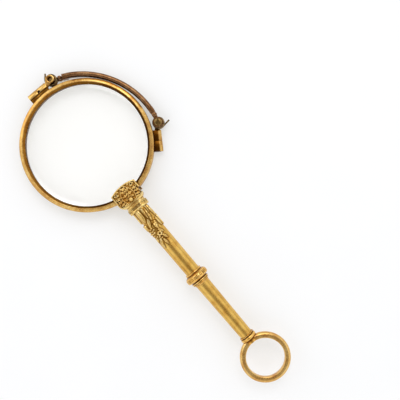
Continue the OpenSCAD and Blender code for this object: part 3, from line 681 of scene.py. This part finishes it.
def head_height(x, y):
    """Height of the head's carving above its ground, in mm."""
    d = edge_distance(x, y)
    sill = SILL_Y + 0.036 * x ** 2
    border = np.clip((0.46 - d) / 0.10, 0, 1) * GROUND * (y > sill)
    band = np.clip((0.36 - np.abs(y - sill)) / 0.18, 0, 1) * GROUND
    slope = 0.36 - 0.4 * np.clip((sill - 0.2 - y) / 0.9, 0, 1)
    h = np.maximum(np.where(y < sill - 0.15, slope, border), band)
    inside = (y < RIBS_TOP) & (y > RIBS_END)
    matted = 0.07 + 0.03 * np.sin(14 * x) * np.sin(14 * y)
    h = np.maximum(h, np.where(inside & (d > 0.3), matted, 0))
    t = np.clip((RIBS_TOP - 0.05 - y) / 4.95, 0, 1)
    rib = np.abs(np.abs(x) - 2.0 * np.sin(math.pi * (0.08 + 0.66 * t))) / 0.22
    h = np.maximum(h, np.where(inside, 0.50 * np.sqrt(np.clip(1 - rib ** 2, 0, 1)), 0))
    for side in (-1, 1):
        u = x * side
        for shape in HEAD_LEAVES:
            h = np.maximum(h, leaf(u, y, *shape))
        for u0, v0, r in HEAD_SCROLLS:
            h = np.maximum(h, scroll(u, y, u0, v0, r, 0.2, 0.52))
            h = h - punched(u, y, u0, v0, 0.46, 0.18)
        for pit in HEAD_PITS:
            h = h - punched(u, y, *pit)
    h = np.maximum(h, leaf(x, y, 0.0, -17.45, 0, 1.05, 0.62, 0.50, 0, 0.3))
    for bead in HEAD_BEADS:
        h = np.maximum(h, knob(x, y, 0.0, *bead))
    gate = np.clip((x - GATE_X) / 0.08, 0, 1)
    gate = gate * np.clip((GATE_HALF - np.abs(y - GATE_Y)) / 0.08, 0, 1)
    return h * (1 - gate) - GATE_DEEP * gate


def grid_faces(rows, cols):
    """Faces of a grid of points."""
    return [(i, i + 1, i + cols + 1, i + cols) for r in range(rows - 1)
            for i in range(r * cols, (r + 1) * cols - 1)]


def grid_edge(rows, cols):
    """Numbers of the points round the edge of a grid."""
    n = np.arange(rows * cols).reshape(rows, cols)
    return np.concatenate([n[0], n[1:, -1], n[-1, -2::-1], n[-2:0:-1, 0]]).tolist()


# A closed block with the carving for its top: what it shares with the CAD's head is the head
gx, gy = np.meshgrid(np.arange(-4.5, 4.5001, CARVE_STEP), np.arange(-22.5, -15.4999, CARVE_STEP))
near_edge = np.clip(EDGE_R - edge_distance(gx, gy), 0, EDGE_R - 0.001)
fall = EDGE_R - np.sqrt(EDGE_R ** 2 - near_edge ** 2)
gz = CARVE_TOP - GROUND + head_height(gx, gy) - 0.012 * gx ** 2 - fall
top = np.stack([gx, gy, gz], -1).reshape(-1, 3)
edge = grid_edge(*gx.shape)
foot = list(range(len(top), len(top) + len(edge)))
block = mesh_of(placed(np.vstack([top, top[edge] * (1, 1, 0) + (0, 0, CARVE_FOOT)])),
                grid_faces(*gx.shape) + between(edge, foot) + [tuple(foot)])
head = carve(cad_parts["head_front"].data.copy(), block, "INTERSECT")
x, y, z = local(head).T
# Low carving is darker than its tops, by patina and painted shade; the slot's inside is painted shade
rubbed_and_lit = 0.40 + 0.60 * np.clip(head_height(x, y) / 0.36, 0, 1)
shaded_gate = (x > GATE_X - 0.06) & (x < 4.19) & (np.abs(y - GATE_Y) < GATE_HALF + 0.02) & (z < 3.3)
marked(head, np.select([shaded_gate, z > 2.3], [0.0, rubbed_and_lit], 0.85))
fixed("head_carved_front", head, chased, "head_front", sharp=50.0)
plate = eased(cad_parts["head_back"].data.copy(), 0.06)
fixed("head_back_plate", marked(plate, 1.0), chased, "head_back")

# The release button is a gold bead on a stem that reaches through the head to the catch.
# Its top is punched with a small ring. Stud and lever are plain gold, filed and polished,
# and stay as the CAD has them.
BUTTON_Y, BUTTON_Z, BUTTON_R = -20.65, 3.6, 0.65
# Polished gold that no hand reaches: a warm yellow with a high sheen, browned in the corners by dirt
# and painted shade.
polished = gold("rolled_gold_polished", ("#C68C3E", "#E3AE54", "#EEC474"), 5.2, (0.10, 0.22),
                (0.25, 0.01), 1.3, (0.25, 0.62, 0.9))
bead = [(0, 0.50), (0.10, 0.51), (0.16, 0.55), (0.22, 0.60)]
bead += [polar(BUTTON_R, 90 - a) for a in (24, 32, 40, 50, 60, 70, 80, 90, 100, 112, 124, 136, 148)]
bead = [(r, BUTTON_Z + z) for r, z in bead]
bead += [(0.3, 3.0), (0.3, 1.95), (0.5, 1.93), (0.5, 1.76), (0.27, 1.75), (0.25, 1.38), (0, 1.35)]
button = lathe(bead, 40, upright(0, BUTTON_Y))
fixed("release_button_bead", marked(button, 1.0), chased, "release_button", body="button")
kept(("catch_stud", "catch_lever"), polished)

# Neck and collar join the flat head to the round stem. The collar is an oval band with two
# plain lips, and a row of small keys is soldered between them, each bent from square wire.
NECK_W, COLLAR_W, COLLAR_T, BED_DEEP = 6.0, 6.6, 4.6, 0.26
NECK_TOP, COLLAR_TOP, STEM_TOP = 22.2, 22.7, 24.4


def oval(width, thick, station, sides):
    """Points round an oval of two half circles and two straights, at a station."""
    a = 2 * math.pi * (np.arange(sides) + 0.5) / sides
    shift = np.where(np.cos(a) > 0, 0.5, -0.5) * (width - thick)
    return np.stack([shift + thick / 2 * np.cos(a), np.full(sides, -station),
                     HANDLE_AXIS + thick / 2 * np.sin(a)], -1).tolist()


# From the neck down: station, width, thickness. Lips: mm below the collar's top, mm let in
LIPS = ((0, 0.2), (0.05, 0.05), (0.11, 0.05), (0.16, BED_DEEP), (0.98, BED_DEEP), (1.02, 0.05),
        (1.10, 0.02), (1.15, 0.16), (1.22, 0.10), (1.34, 0), (1.48, 0.02))
shell = [(NECK_TOP - 0.15, 5.8, 3.9), (NECK_TOP, NECK_W + 0.1, 4.2), (NECK_TOP + 0.2, NECK_W, 4.1),
         (COLLAR_TOP - 0.12, NECK_W - 0.05, 4.05), (COLLAR_TOP - 0.05, NECK_W, 4.1)]
shell += [(COLLAR_TOP + down, COLLAR_W - inset, COLLAR_T - inset) for down, inset in LIPS]
shell += [(STEM_TOP - 0.10, COLLAR_W - 0.16, COLLAR_T - 0.16),
          (STEM_TOP, COLLAR_W - 0.44, COLLAR_T - 0.34), (STEM_TOP + 0.01, 3.6, 3.55),
          (STEM_TOP + 1.6, 3.5, 3.45)]
SHELL_SIDES = 96
ends = [tuple(range(SHELL_SIDES)),
        tuple(range(len(shell) * SHELL_SIDES - 1, (len(shell) - 1) * SHELL_SIDES - 1, -1))]
collar = mesh_of(placed([oval(width, thick, station, SHELL_SIDES) for station, width, thick in shell]),
                 stacked(len(shell), SHELL_SIDES) + ends)
below = -local(collar)[:, 1] - COLLAR_TOP
marked(collar, np.where((below > 0.14) & (below < 1.0), 0.70, 1.0))
fixed("neck_and_collar_band", collar, chased, "neck_collar")

# Units set side by side round a closed path: keys, beads and milling all follow this rule
row_tree, given, path = tree_of("row_round_path", [
    ("Count", "Int"), ("Axis", "Vector"), ("Unit", "Object"), ("Metal", "Material")])
spots = add(row_tree, "GeometryNodeCurveToPoints", {"Curve": path, "Count": given["Count"]},
            mode="COUNT")
outward = add(row_tree, "ShaderNodeVectorMath",
              {0: spots.outputs["Tangent"], 1: given["Axis"]}, operation="CROSS_PRODUCT")
facing = add(row_tree, "FunctionNodeAxesToRotation",
             {"Primary Axis": outward.outputs[0], "Secondary Axis": given["Axis"]},
             primary_axis="Z", secondary_axis="Y")
shape = add(row_tree, "GeometryNodeObjectInfo", {"Object": given["Unit"]})
laid = add(row_tree, "GeometryNodeInstanceOnPoints", {
    "Points": spots.outputs["Points"], "Instance": shape.outputs["Geometry"],
    "Rotation": facing.outputs[0]})
end_tree(row_tree, laid.outputs[0], given["Metal"])


def row(name, loop, count, unit, metal):
    """Sets a unit mesh, drawn in mm with z outwards, round a closed loop of points."""
    holder = in_scene("unit", unit)
    made = grow(row_tree, loop, True, Count=count, Axis=(0, 1, 0), Unit=holder, Metal=metal)
    bpy.data.objects.remove(holder)
    fixed(name, marked(moved(made, placed(points_of(made))), 1.0), metal)


def strip(line, width, foot, top):
    """Mesh of a square wire laid along a line of [x, y] points, narrower at its top."""
    spots = np.array(line, float)
    way = np.diff(spots, axis=0)
    way = way / np.linalg.norm(way, axis=1)[:, None]
    side = np.stack([-way[:, 1], way[:, 0]], -1)
    before, after = np.vstack([side[:1], side]), np.vstack([side, side[-1:]])
    mitre = (before + after) / (1 + (before * after).sum(1))[:, None] * width / 2
    points = [(*(p + m * reach), z) for p, m in zip(spots, mitre)
              for reach, z in ((1, foot), (-1, foot), (-0.72, top), (0.72, top))]
    n = len(points)
    return mesh_of(points, stacked(n // 4, 4) + [(0, 1, 2, 3), (n - 1, n - 2, n - 3, n - 4)])


def bead_unit(rx, ry, height, rings=4, sides=12):
    """Mesh of an oval bead, flat underneath, sunk 0.08 mm into its seat."""
    a = 2 * math.pi * np.arange(sides) / sides
    levels = [(0, -0.08), (1, -0.08)]
    levels += [(c, height * s) for c, s in (polar(1, 90 * i / rings) for i in range(1, rings + 1))]
    points = [np.stack([rx * r * np.cos(a), ry * r * np.sin(a), np.full(sides, z)], -1)
              for r, z in levels]
    return mesh_of(points, stacked(len(levels), sides))


KEY_LINE = ((-0.42, -0.37), (-0.42, 0.3404), (0.30, 0.3404), (0.30, -0.1184), (-0.08, -0.1184),
            (-0.08, 0.1036))
band = oval(COLLAR_W - BED_DEEP, COLLAR_T - BED_DEEP, COLLAR_TOP + 0.58, 144)
row("collar_key_pattern", band, 19, strip(KEY_LINE, 0.17, -0.12, 0.13), chased)

# The upper stem is a drawn tube that tapers a little to the knop. It is left satin, with
# the fine lengthwise lines of the drawing stone on it.
STEM_R, KNOP_TOP = 2.3, 47.8
TUBE_COLOURS = ("#CF9C48", "#E0B35A", "#E8BF66")
# Drawn gold tube, satin: long soft streaks along the handle, warm brown where it is dull.
satin = gold("drawn_gold_satin", TUBE_COLOURS, 9.0, (0.20, 0.34), (0.45, 0.02),
             stretch=(1, 0.045, 1))


def handle(p):
    """Placing for a piece turned round the handle's axis. Its height is the station."""
    return np.stack([p[:, 0], -p[:, 2], HANDLE_AXIS + p[:, 1]], -1)


def tube_between(first, last, r_first, r_last, bore):
    """Mesh of a tapered tube, let in 0.02 mm short of its neighbours' stations."""
    start, end = first + 0.02, last - 0.02
    taper = [(r_first + (r_last - r_first) * t, start + 0.03 + (end - start - 0.03) * t)
             for t in np.linspace(0, 1, 24)]
    return lathe([(bore, start), (r_first - 0.02, start)] + taper + [(bore, end), (bore, start)],
                 96, handle)


fixed("upper_stem_tube", tube_between(STEM_TOP, KNOP_TOP, STEM_R, 2.2, 1.75), satin,
      "upper_stem")

# Leaves and a flower spray are applied to the upper stem below the collar. They are
# stamped from thin gold, chased up from the front and soldered on, open between the leaves.
SPRAY_LONG, SPRAY_HALF, SPRAY_STEP, SHEET_TOP = 13.5, 5.1, 0.06, 0.085
FLOWER_A, FLOWER_S = 0.02, 8.95
# Leaves: mm round the stem from its front and mm down it to the foot, turn, length, width,
# height, veins, and how far the middle is dished
SPRAY_LEAVES = (
    (-1.25, -0.5, 0, 4.7, 1.9, 0.42, 0), (0.31, -0.4, 0, 4.1, 0.66, 0.42, 0, 0.35),
    (1.85, -0.5, -13, 5.4, 1.05, 0.44, 4), (2.75, -0.3, 2, 4.6, 1.0, 0.45, 4),
    (3.65, 3.6, -2, 4.0, 0.7, 0.49, 0), (3.4, 1.5, 0, 2.6, 1.1, 0.48, 3),
    (-3.3, -0.4, 2, 2.4, 0.9, 0.48, 0), (-3.35, 1.7, 4, 2.0, 0.8, 0.50, 0),
    (-4.4, 0.4, 0, 3.4, 1.1, 0.45, 4), (-4.2, 4.2, 4, 3.0, 1.0, 0.45, 4),
    (4.5, 0.0, 0, 3.6, 1.2, 0.45, 4), (4.5, 4.0, 0, 3.2, 1.0, 0.45, 4),
    (-3.15, 4.5, 10, 1.9, 0.85, 0.50, 0), (-0.05, 3.6, -22, 2.9, 0.9, 0.46, 0, 0.35),
    (1.2, 5.0, -14, 2.4, 0.85, 0.44, 4), (2.15, 4.5, 4, 3.0, 0.9, 0.44, 4),
    (0.4, 5.6, 10, 2.3, 0.75, 0.42, 3), (-2.15, 4.5, -4, 1.7, 0.7, 0.50, 0),
    (0.35, 7.6, 34, 1.9, 0.75, 0.38, 3), (0.45, 9.5, 22, 2.0, 0.75, 0.36, 3),
    (-1.7, 9.2, -22, 2.0, 0.85, 0.42, 3), (-0.9, 10.1, -16, 2.1, 0.8, 0.40, 3),
    (-1.5, 10.9, -4, 2.5, 0.95, 0.42, 0, 0.4), (-0.15, 10.7, 8, 2.4, 0.75, 0.36, 3))
SPRAY_BEADS = (
    (-2.65, 6.5), (-2.1, 6.25), (-1.55, 6.6), (-1.0, 6.4), (-2.4, 7.1), (-1.85, 7.2),
    (-1.3, 7.35), (-0.7, 7.1), (-2.75, 7.75), (-2.15, 7.85), (-1.6, 8.0), (-1.05, 7.95),
    (-2.35, 8.5), (-1.8, 8.7), (-0.6, 9.75), (-1.2, 9.3), (-0.75, 10.4), (-0.15, 10.3))
# Lines cut between the leaves: mm round, mm down to their start and end
SPRAY_CUTS = ((3.05, 3.9, 7.3), (2.9, 0.2, 1.4), (-2.75, 0.1, 2.0), (-2.9, 3.2, 4.7),
              (1.42, 0.1, 3.2), (-0.28, 0.1, 2.6))


def spray_height(a, s):
    """Height of the applied leaves. a is mm round the stem from its front, s mm down it."""
    h = np.zeros_like(a)
    for shape in SPRAY_LEAVES:
        h = np.maximum(h, leaf(a, s, *shape))
    for a0, s0 in SPRAY_BEADS:
        h = np.maximum(h, knob(a, s, a0, s0, 0.29, 0.47))
    for k in range(6):
        a0, s0 = polar(0.5, 60 * k + 15)
        h = np.maximum(h, knob(a, s, FLOWER_A + a0, FLOWER_S + s0, 0.34, 0.46))
    h = h - punched(a, s, FLOWER_A, FLOWER_S, 0.4, 0.2)
    for a0, s0, s1 in SPRAY_CUTS:
        run = np.clip((s - s0) / 0.3, 0, 1) * np.clip((s1 - s) / 0.3, 0, 1)
        h = h - 0.45 * run * np.exp(-((a - a0) / 0.17) ** 2)
    return np.maximum(h, 0)


ga, gs = np.meshgrid(np.arange(-SPRAY_HALF, SPRAY_HALF + 0.0001, SPRAY_STEP),
                     np.arange(0.02, SPRAY_LONG, SPRAY_STEP))
high = spray_height(ga, gs)
# The thin sheet under the leaves reaches as far round them as this blur of their shape
near = (high > 0.08).astype(float)
for _ in range(24):
    wide = near.copy()
    wide[1:-1, 1:-1] = (near[1:-1, 1:-1] + near[:-2, 1:-1] + near[2:, 1:-1] + near[1:-1, :-2]
                        + near[1:-1, 2:]) / 5
    near = wide
high = np.maximum(high, SHEET_TOP * np.clip((near - 0.012) / 0.05, 0, 1))
high[[0, -1], :] *= 0.2
stem_r = STEM_R - 0.1 * gs / 23.4
skins = np.vstack([
    np.stack([r * np.sin(ga / STEM_R), -(STEM_TOP + gs), HANDLE_AXIS + r * np.cos(ga / STEM_R)],
             -1).reshape(-1, 3) for r in (stem_r - 0.05 + high, stem_r - 0.25)])
outer, edge = grid_faces(*ga.shape), grid_edge(*ga.shape)
inner = [tuple(ga.size + i for i in reversed(face)) for face in outer]
spray = mesh_of(placed(skins), outer + inner + between(edge, [ga.size + i for i in edge]))
# The sheet and the low parts of the leaves are darker than the tops, by patina and painted shade
rubbed_and_lit = 0.28 + 0.72 * np.clip((high - 0.07) / 0.28, 0, 1)
marked(spray, np.concatenate([rubbed_and_lit.ravel(), np.full(ga.size, 0.4)]))
fixed("applied_leaf_spray", spray, chased, "leaf_relief", sharp=0)

# The knop is turned from the solid: a milled bead, a drum engraved with short triple lines
# and dots, a groove and a stepped ring. Its spigots are soldered into both tubes.
KNOP_END, SPIGOT_TOP, SPIGOT_END = 52.2, 45.6, 54.4
DRUM_R, DRUM_SETS, LINE_DEEP, DOT_DEEP = 3.5, 7, 0.11, 0.15
# Gold turned on the lathe and polished: a warmer, cleaner yellow than the matted carving, with
# # brown dirt and painted shade in the grooves only.
turned = gold("turned_gold_polished", ("#D9A34E", "#ECBA62", "#F8D084"), 3.8, (0.16, 0.32),
              (0.6, 0.03), 0.5, (0.12, 0.42, 0.75), marked_dirt_and_shade=True)


def moulding(radius, high, start, end, steps):
    """Half round moulding between two stations, as [radius, station] points."""
    mid, half = (start + end) / 2, (end - start) / 2
    return [(radius + high * math.sqrt(max(0, 1 - ((s - mid) / half) ** 2)), s)
            for s in np.linspace(start, end, steps)]


def grooved(profile, stations, depth):
    """How bare and lit a turned piece is at its stations: grime and painted shade lie where a
    moulding stands higher within 0.42 mm, and are thickest at the depth given in mm."""
    high, at = np.array(profile).T
    crest = np.array([high[np.abs(at - s) < 0.42].max() for s in at])
    clean_and_lit = 1 - 0.8 * np.clip((crest - high) / depth, 0, 1)
    order = np.argsort(at, kind="stable")
    return np.interp(stations, at[order], clean_and_lit[order])


def drum_marks(a, s):
    """Engraved triple lines with pairs of dots between them, in sets round the drum."""
    pitch = 2 * math.pi / DRUM_SETS
    u = ((a - math.pi / 2 + pitch / 2) % pitch - pitch / 2) * DRUM_R
    ends = np.clip((0.85 - np.abs(u)) / 0.08, 0, 1)
    lines = sum(np.exp(-((s - m) / 0.06) ** 2) for m in (49.25, 49.58, 49.91))
    v = np.abs(np.abs(u) - 1.4)
    dots = sum(np.exp(-((v / 0.13) ** 2 + ((s - m) / 0.13) ** 2)) for m in (49.35, 49.8))
    return np.where((s > 49.05) & (s < 50.35), -LINE_DEEP * ends * lines - DOT_DEEP * dots, 0)


def circle(radius, station, sides=96):
    """Points of a circle round the handle's axis at a station."""
    spokes = [polar(radius, 360 * k / sides) for k in range(sides)]
    return [(x, -station, HANDLE_AXIS + z) for x, z in spokes]


knop_profile = [(0, SPIGOT_TOP), (1.7, SPIGOT_TOP), (1.7, KNOP_TOP - 0.01), (STEM_R, KNOP_TOP)]
knop_profile += moulding(2.36, 0.24, KNOP_TOP + 0.02, 48.38, 9)
knop_profile += [(2.56, 48.41), (2.62, 48.46), (2.86, 48.56), (3.10, 48.72), (3.28, 48.92),
                 (3.38, 49.05)]
knop_profile += [(3.42 + 0.09 * math.sin(math.pi * (s - 49.1) / 1.2), s)
                 for s in np.arange(49.1, 50.31, 0.03)]
knop_profile += [(3.33, 50.38), (3.18, 50.50), (2.95, 50.62), (2.66, 50.70), (2.58, 50.74),
                 (2.58, 50.84), (2.62, 50.9)]
knop_profile += moulding(2.6, 0.2, 50.92, 51.34, 7)
knop_profile += [(2.5, 51.38)] + moulding(2.47, 0.17, 51.4, 51.7, 6)
knop_profile += [(2.36, 51.74), (2.32, 51.9), (2.26, 52.1), (2.18, KNOP_END), (1.4, KNOP_END),
                 (1.4, SPIGOT_END), (0, SPIGOT_END)]
knop = lathe(knop_profile, 420, handle, drum_marks)
x, y, z = local(knop).T
cut = np.clip(-drum_marks(np.arctan2(z - HANDLE_AXIS, x), -y) / LINE_DEEP, 0, 1)
marked(knop, (1 - 0.75 * cut) * grooved(knop_profile[3:-3], -y, 0.6))
fixed("knop_turned_drum", knop, turned, "middle_knop")
row("knop_milled_bead", circle(2.5, 48.1), 44, bead_unit(0.15, 0.27, 0.14), turned)

# The lower stem is a second drawn tube, let over the knop's spigot. It is frosted with a
# fine punch, so that it grips in the hand.
LOWER_END = 71.8
# Drawn gold tube, frosted with a punch: close small pits, longer along the handle than across.
frosted = gold("drawn_gold_frosted", TUBE_COLOURS, 5.2, (0.22, 0.38), (0.7, 0.03),
               stretch=(1, 0.5, 1))
fixed("lower_stem_tube", tube_between(KNOP_END, LOWER_END, 2.15, 1.9, 1.45), frosted,
      "lower_stem")

# A round bead with a milled edge ends the handle. Its short throat is hollowed to take the
# suspension ring, which is soldered into it.
end_profile = [(0, 69.4), (1.4, 69.4), (1.4, LOWER_END - 0.01), (2.0, LOWER_END)]
end_profile += moulding(2.1, 0.14, 71.82, 72.02, 6) + [(1.98, 72.05), (1.96, 72.15)]
end_profile += moulding(1.99, 0.45, 72.2, 73.36, 14)
end_profile += [(1.74, 73.5), (1.62, 73.6), (1.56, 74.6), (0, 74.6)]
seat = arc_piece(rounded([(-0.98, -0.94, 0), (0, -0.94, 0.9), (0.94, -0.94, 0.93),
                          (0.94, 0.94, 0.93), (0, 0.94, 0.9), (-0.98, 0.94, 0)]),
                 6.45, 0, 360, 120, turned)
tip = carve(lathe(end_profile, 96, handle), moved(seat, points_of(seat) * MM))
marked(tip, grooved(end_profile[3:-1], -local(tip)[:, 1], 0.24))
fixed("end_bead_and_throat", tip, turned, "end_collar")
row("end_bead_milled_edge", circle(2.22, 71.95), 30, bead_unit(0.13, 0.12, 0.1), turned)

# The suspension ring is thick gold wire, straight inside and round outside, so that a ribbon
# or a chain's bolt ring lies flat in it. It is bent round and its ends are soldered.
HOOP_R = 6.5
# Rolled gold worn by chain and ribbon: the same polish, with redder bare patches.
ring_gold = gold("rolled_gold_ring_worn", ("#CC9250", "#E2B468", "#EEC880"), 3.6, (0.20, 0.36),
                 (0.3, 0.01))
hoop = arc_piece(rounded([(-0.85, -0.92, 0.25), (0.9, -0.95, 0.85), (0.9, 0.95, 0.85),
                          (-0.85, 0.92, 0.25)], 8), HOOP_R, 0, 360, 160, ring_gold)
fixed("suspension_ring_hoop", moved(hoop, points_of(hoop) * MM), ring_gold,
      "suspension_ring")

# The piece lies on a plain sheet of white card. A soft square lamp shines from above, beyond
# the lenses, and a weaker one from the left. The pale room shines from all round.
SHEET_HALF, SHEET_GAP = 3.0, 0.00002     # metres
RIGHT, UP = Vector((0.7633, -0.6458, 0)), Vector((0.6458, 0.7633, 0))
MIDDLE = Vector((0.014906, 0.046875, 0))
# Matt card: a faint cloud of pulp in the white, and no sheen. It shows one plain white to the
# eye, also through the lenses and in the gold, and takes the piece's soft shadow.
paper, tree, place = blank("white_card_matt")
SHOWN, SHOWN_BEHIND_GLASS = 0.462, 0.668
pulp = toned(tree, cloud(tree, place, 0.06), (0.3, 0.7), ("#FBFBFC", "#FDFDFE"))
matt = add(tree, "ShaderNodeBsdfDiffuse", {"Color": multiplied(tree, pulp, linear("#C0C1C5"))})
ray = add(tree, "ShaderNodeLightPath").outputs
direct = maths(tree, "MAXIMUM", ray["Is Camera Ray"], ray["Is Glossy Ray"])
seen = maths(tree, "MAXIMUM", maths(tree, "MULTIPLY", direct, SHOWN),
             maths(tree, "MULTIPLY", ray["Is Transmission Ray"], SHOWN_BEHIND_GLASS))
glow = add(tree, "ShaderNodeEmission", {"Color": linear("#FFFFF9"), "Strength": seen})
both = add(tree, "ShaderNodeAddShader", {0: matt.outputs[0], 1: glow.outputs[0]})
add(tree, "ShaderNodeOutputMaterial", {"Surface": both.outputs[0]})
level = cad_box[0].z - SHEET_GAP
sheet = mesh_of([(x * SHEET_HALF, y * SHEET_HALF, level)
                 for x, y in ((-1, -1), (1, -1), (1, 1), (-1, 1))], [(0, 1, 2, 3)])
sheet.materials.append(paper)
floor = in_scene("sheet", sheet)


def lamp(name, side, height, distance, size, power):
    """Square soft lamp, aimed at the middle of the piece."""
    direction = (side + Vector((0, 0, height))).normalized()
    data = bpy.data.lights.new(name, "AREA")
    data.shape = "SQUARE"
    data.size = size
    data.energy = power
    data.color = (1.0, 0.97, 0.93)
    lit = in_scene(name, data)
    lit.location = MIDDLE + direction * distance
    lit.rotation_mode = "QUATERNION"
    lit.rotation_quaternion = direction.to_track_quat("Z", "Y")
    lit.visible_camera = False


lamp("soft_lamp_above", RIGHT * 0.05 + UP, 1.55, 0.8, 0.4, 1.3)
lamp("soft_lamp_left", RIGHT * -0.85 + UP * 0.45, 0.55, 0.9, 0.5, 0.7)

# The room is dull at the floor, bright round the walls, cooler there, and dark and warm above
room = bpy.data.worlds.new("pale_room")
bpy.context.scene.world = room
room.use_nodes = True
tree = room.node_tree
tree.nodes.clear()
WALLS = ((0.12, 0.5, 0), (0.28, 1.06, 0.02), (0.76, 1.06, 0.02), (0.87, 0.60, 0), (0.95, 0.34, 0))
stops = [(0.0, (0.42, 0.42, 0.43, 1))]
stops += [(place, (grey - cool, grey - cool / 2, grey + cool, 1)) for place, grey, cool in WALLS]
stops += [(1.0, (0.33, 0.25, 0.16, 1))]
heading = add(tree, "ShaderNodeTexCoord").outputs["Generated"]
rise = add(tree, "ShaderNodeSeparateXYZ", {0: heading}).outputs["Z"]
shade = add(tree, "ShaderNodeValToRGB", {"Fac": rise}, stops)
back = add(tree, "ShaderNodeBackground", {"Color": shade.outputs["Color"], "Strength": 1.03})
white = add(tree, "ShaderNodeBackground", {"Color": linear("#FDFDFD"), "Strength": 1.0})
first = add(tree, "ShaderNodeLightPath").outputs["Is Camera Ray"]
mix = add(tree, "ShaderNodeMixShader", {0: first, 1: back.outputs[0], 2: white.outputs[0]})
add(tree, "ShaderNodeOutputWorld", {"Surface": mix.outputs[0]})

# The camera looks straight down from close by, as for a small piece on a copy stand, turned so
# that the handle runs from the upper left to the lower right.
CAMERA_UP, VIEW_WIDTH, FILM_WIDTH = 0.168, 0.1158, 36
view = bpy.data.cameras.new("camera")
view.lens = FILM_WIDTH * CAMERA_UP / VIEW_WIDTH
view.clip_start = 0.01
camera = in_scene("camera", view)
camera.matrix_world = Matrix.Translation(MIDDLE + Vector((0, 0, CAMERA_UP))) @ Matrix((
    (RIGHT.x, UP.x, 0, 0), (RIGHT.y, UP.y, 0, 0), (0, 0, 1, 0), (0, 0, 0, 1)))
bpy.context.scene.camera = camera
bpy.context.scene.view_settings.view_transform = "Standard"
